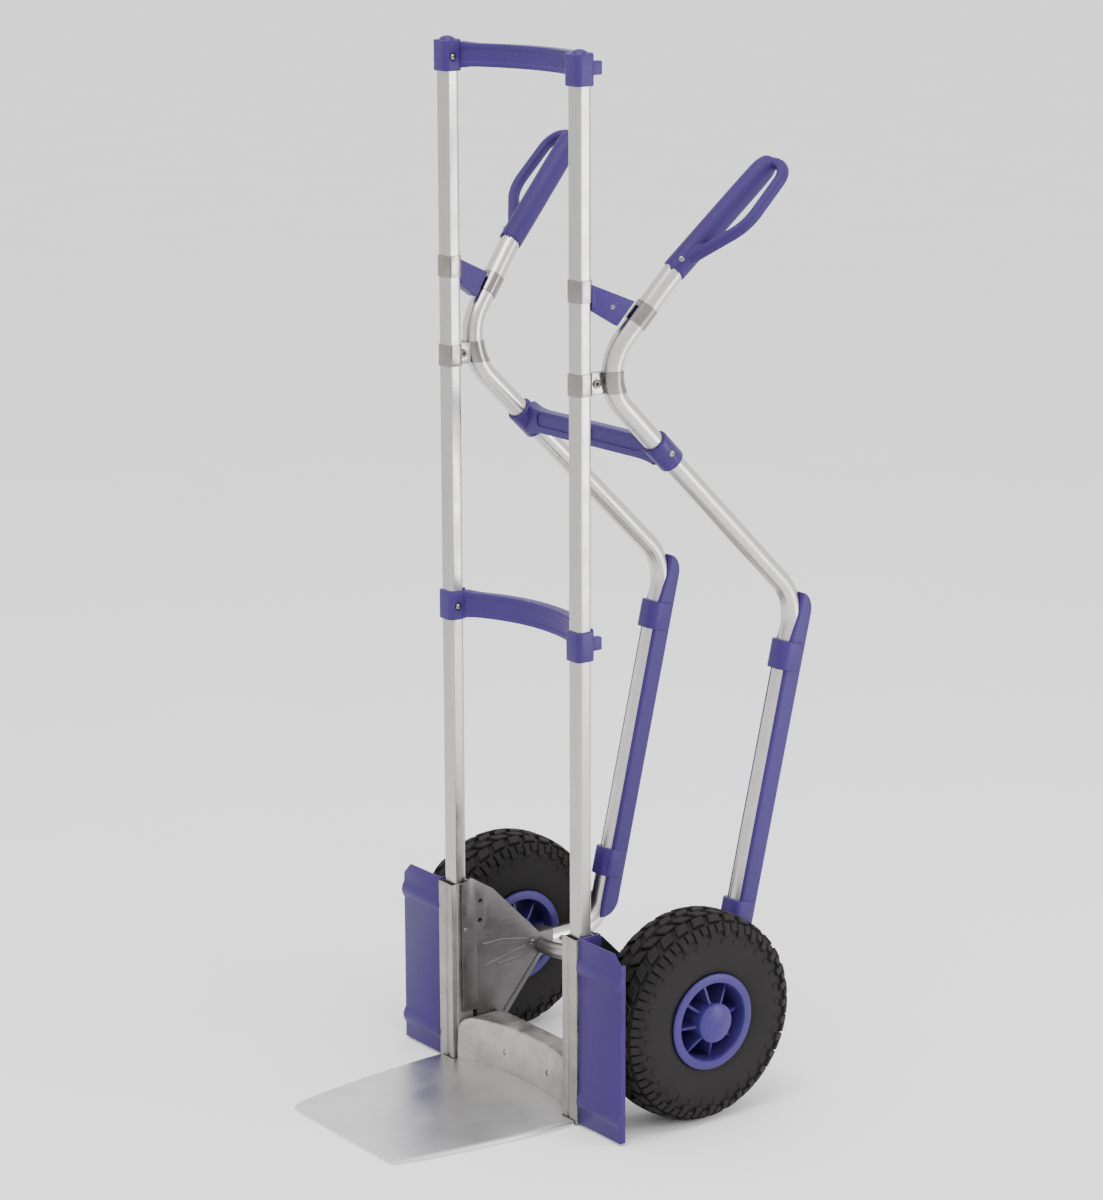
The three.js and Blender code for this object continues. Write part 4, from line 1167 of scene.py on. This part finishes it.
def tyre(name, side):
    """Pneumatic tyre: carcass, staggered rows of blocks, shoulder lugs and short ribs on each wall."""
    line = tyre_meridian()
    outer = [(-w, r) for w, r in reversed(line)] + line[1:]
    inner = [(35.4, 60.6), (33.4, 54.6), (24, 54.6), (25, 60), (34, 68), (35.5, 90), (29, 112), (12, 120.5)]
    inner += [(-w, r) for w, r in reversed(inner)]
    solids = [lathe(outer + inner, side, 128)]
    pitch = 2 * math.pi / TREAD_COUNT

    def add(kind, turn, start, end, skew=0.0):
        ends = sorted((start, end))
        solids.append(tread_block(line, side, turn, pitch * kind.fill, *ends, kind.height, skew))

    for i in range(TREAD_COUNT):
        turn = i * pitch
        for row, middle in enumerate(BLOCK.rows):
            offset, skew = (pitch / 2, BLOCK.skew) if row % 2 else (0, -BLOCK.skew)
            add(BLOCK, turn + offset, middle - BLOCK.half, middle + BLOCK.half, skew)
        for face, offset in ((-1, pitch / 2), (1, 0)):
            for reach, step in zip(SHOULDER.ends, (0, pitch / 2)):
                add(SHOULDER, turn + offset + step, face * SHOULDER.start, face * reach)
            add(WALL_RIB, turn + offset + pitch / 4, face * WALL_RIB.start, face * WALL_RIB.end)
    return make_object(f"{name}_tyre_casing", merge(solids), TYRE)


HUB = SimpleNamespace(radius=22, pocket=17.7, bearing=11, inner=-36, outer=41, bore=10)
SPOKES = 8


def spoke_web(side, turn):
    """Thin radial web, deeper at the hub than at the barrel."""
    outline = [(20.5, -33), (20.5, 37), (30, 33), (48.5, 26), (48.5, -26), (30, -32)]
    radial = Vector((0, math.cos(turn), math.sin(turn)))
    round_way = Vector((0, -math.sin(turn), math.cos(turn)))
    centre = Vector((side * WHEEL_X, AXLE_Y, AXLE_Z))
    return skin([
        [centre + radial * r + X_AXIS * side * w + round_way * t for r, w in outline] for t in (-1.7, 1.7)
    ])


def rim(name, side):
    """Moulded rim: flanged barrel, hub and eight webs."""
    lip = [(-40, 49.5), (-40, 58), (-39.4, 59.4), (-38, 60), (-36.4, 59.6), (-35, 57), (-33.7, 54)]
    barrel = lip + [(-w, r) for w, r in reversed(lip)]
    barrel += [(38.5, 48.4), (34, 47.5), (-34, 47.5), (-38.5, 48.4)]
    inner, outer, depth = HUB.inner, HUB.outer, HUB.bearing
    hub = [(inner, HUB.pocket), (inner, HUB.radius), (outer, HUB.radius), (outer, HUB.pocket),
           (outer - depth, HUB.pocket), (outer - depth, HUB.bore), (inner + depth, HUB.bore),
           (inner + depth, HUB.pocket)]
    phase = math.radians(6)
    webs = [spoke_web(side, phase + i * 2 * math.pi / SPOKES) for i in range(SPOKES)]
    whole = make_object(f"{name}_rim_moulding", lathe(barrel, side, 128), RIM_BLUE)
    weld(whole, lathe(hub, side, 64), *webs, edge=0.6)
    return carve(whole, valve_rod(side, 4 + GAP))


VALVE_ANGLE = math.radians(208)
VALVE_ENDS = (27, 53.7)


def valve_line(side):
    """The middle of the wheel beside the valve, and the way out along the valve."""
    out = Vector((0, math.cos(VALVE_ANGLE), math.sin(VALVE_ANGLE)))
    return Vector((side * (WHEEL_X + 8), AXLE_Y, AXLE_Z)), out


def valve_rod(side, radius):
    centre, out = valve_line(side)
    return rod([centre + out * VALVE_ENDS[0], centre + out * VALVE_ENDS[1]], radius)


def valve(name, side):
    """Rubber valve stem with a cap, narrowed between the two."""
    low, high = VALVE_ENDS
    profile = [(low, 2.4), (27.6, 3.1), (34, 3.1), (34.4, 2.6), (35, 2.6), (35.6, 3.4), (44, 3.8), (high, 4)]
    return make_object(f"{name}_valve_stem", turned(profile, *valve_line(side)), VALVE)


def hub_cap(name, side):
    """Smooth low dome over the hub."""
    top = smooth_curve([
        (41.3, 24.5), (43.8, 24.5), (45.4, 23.6), (47.6, 19.5), (49.6, 12), (50.6, 5), (50.8, 0.4),
    ])
    under = [(48.6, 0.4), (48, 11), (46.2, 18), (44, 21.6), (41.3, 21.6)]
    return make_object(f"{name}_hub_cover", lathe(top + under, side, 96), RIM_BLUE)


def bearing(name, place, side, start, end):
    """Sealed ball bearing: two rings with a sunk shield between them."""
    sunk = 0.8
    profile = [
        (start, 7.5), (start, 10), (start + sunk, 10.3), (start + sunk, 14.8), (start, 15.1), (start, 17.4),
        (end, 17.4), (end, 15.1), (end - sunk, 14.8), (end - sunk, 10.3), (end, 10), (end, 7.5),
    ]
    return make_object(f"{name}_{place}_ball_bearing", lathe(profile, side, 64), STEEL)


def wheel(name, side):
    body = f"{name}_wheel"
    piece(tyre(name, side), "tyre_rubber", f"{name}_tyre", body=body)
    piece(rim(name, side), "rim_plastic", f"{name}_rim", body=body)
    piece(hub_cap(name, side), "rim_plastic", f"{name}_hub_cap", body=body)
    piece(valve(name, side), "valve_rubber", f"{name}_valve", body=body)
    faces = (HUB.inner + GAP, HUB.outer - GAP)
    length = HUB.bearing - 2 * GAP
    for place, start in (("inner", faces[0]), ("outer", faces[1] - length)):
        ring = bearing(name, place, side, start, start + length)
        piece(ring, "bright_steel", f"{name}_{place}_bearing", body=body)
    ring = lathe([(41.2, 7.5), (41.2, 12), (43, 12), (43, 7.5)], side, 48)
    washer = make_object(f"{name}_spindle_washer", ring, STEEL)
    piece(washer, "bright_steel", f"{name}_axle_washer")


for name, side in SIDES:
    wheel(name, side)


# ---- floor, light and camera ---------------------------------------------------------------------

def floor():
    """Large pale floor under the wheels."""
    reach = 60.0
    mesh = bpy.data.meshes.new("floor")
    corners = [(-reach, -reach, 0), (reach, -reach, 0), (reach, reach, 0), (-reach, reach, 0)]
    mesh.from_pydata(corners, [], [(0, 1, 2, 3)])
    surface = Surface("floor_paper", specular=0.2)
    surface.colour(surface.blend(surface.noise(3, 3), (0.96, 0.96, 0.96), (0.98, 0.98, 0.98)))
    surface.shader.inputs["Roughness"].default_value = 0.9
    mesh.materials.append(surface.material)
    obj = bpy.data.objects.new("floor", mesh)
    bpy.context.scene.collection.objects.link(obj)


def soft_light(name, place, target, size, power):
    data = bpy.data.lights.new(name, "AREA")
    data.shape = "RECTANGLE"
    data.size, data.size_y = size
    data.energy = power
    obj = bpy.data.objects.new(name, data)
    obj.location = place
    obj.rotation_mode = "QUATERNION"
    obj.rotation_quaternion = (Vector(target) - Vector(place)).to_track_quat("-Z", "Y")
    bpy.context.scene.collection.objects.link(obj)


def studio():
    world = bpy.data.worlds.new("studio")
    world.use_nodes = True
    background = world.node_tree.nodes["Background"]
    background.inputs["Color"].default_value = (1.0, 1.0, 1.0, 1)
    background.inputs["Strength"].default_value = 1.5
    bpy.context.scene.world = world
    middle = (0, 0, 0.6)
    soft_light("side", (2.2, 1.55, 0.75), middle, (0.6, 1.6), 36)
    soft_light("top", (0.6, -0.6, 3.2), middle, (1.6, 1.6), 60)


def camera():
    """A long lens, looking from the front right and a little above."""
    azimuth, pitch, roll = (math.radians(a) for a in (53.507, 13.706, -0.181))
    place = Vector((3.2293, -2.3339 + UPRIGHT_PLANE * MM, 1.5967))
    ahead = Vector((-math.sin(azimuth), math.cos(azimuth), 0))
    level = Vector((math.cos(azimuth), math.sin(azimuth), 0))
    forward = ahead * math.cos(pitch) - Z_AXIS * math.sin(pitch)
    upright = level.cross(forward)
    right = level * math.cos(roll) + upright * math.sin(roll)
    up = upright * math.cos(roll) - level * math.sin(roll)
    data = bpy.data.cameras.new("camera")
    data.lens = 102.31
    data.sensor_width = 36
    data.clip_end = 200
    obj = bpy.data.objects.new("camera", data)
    obj.matrix_world = Matrix.Translation(place) @ Matrix((right, up, -forward)).transposed().to_4x4()
    bpy.context.scene.collection.objects.link(obj)
    bpy.context.scene.camera = obj


floor()
studio()
camera()
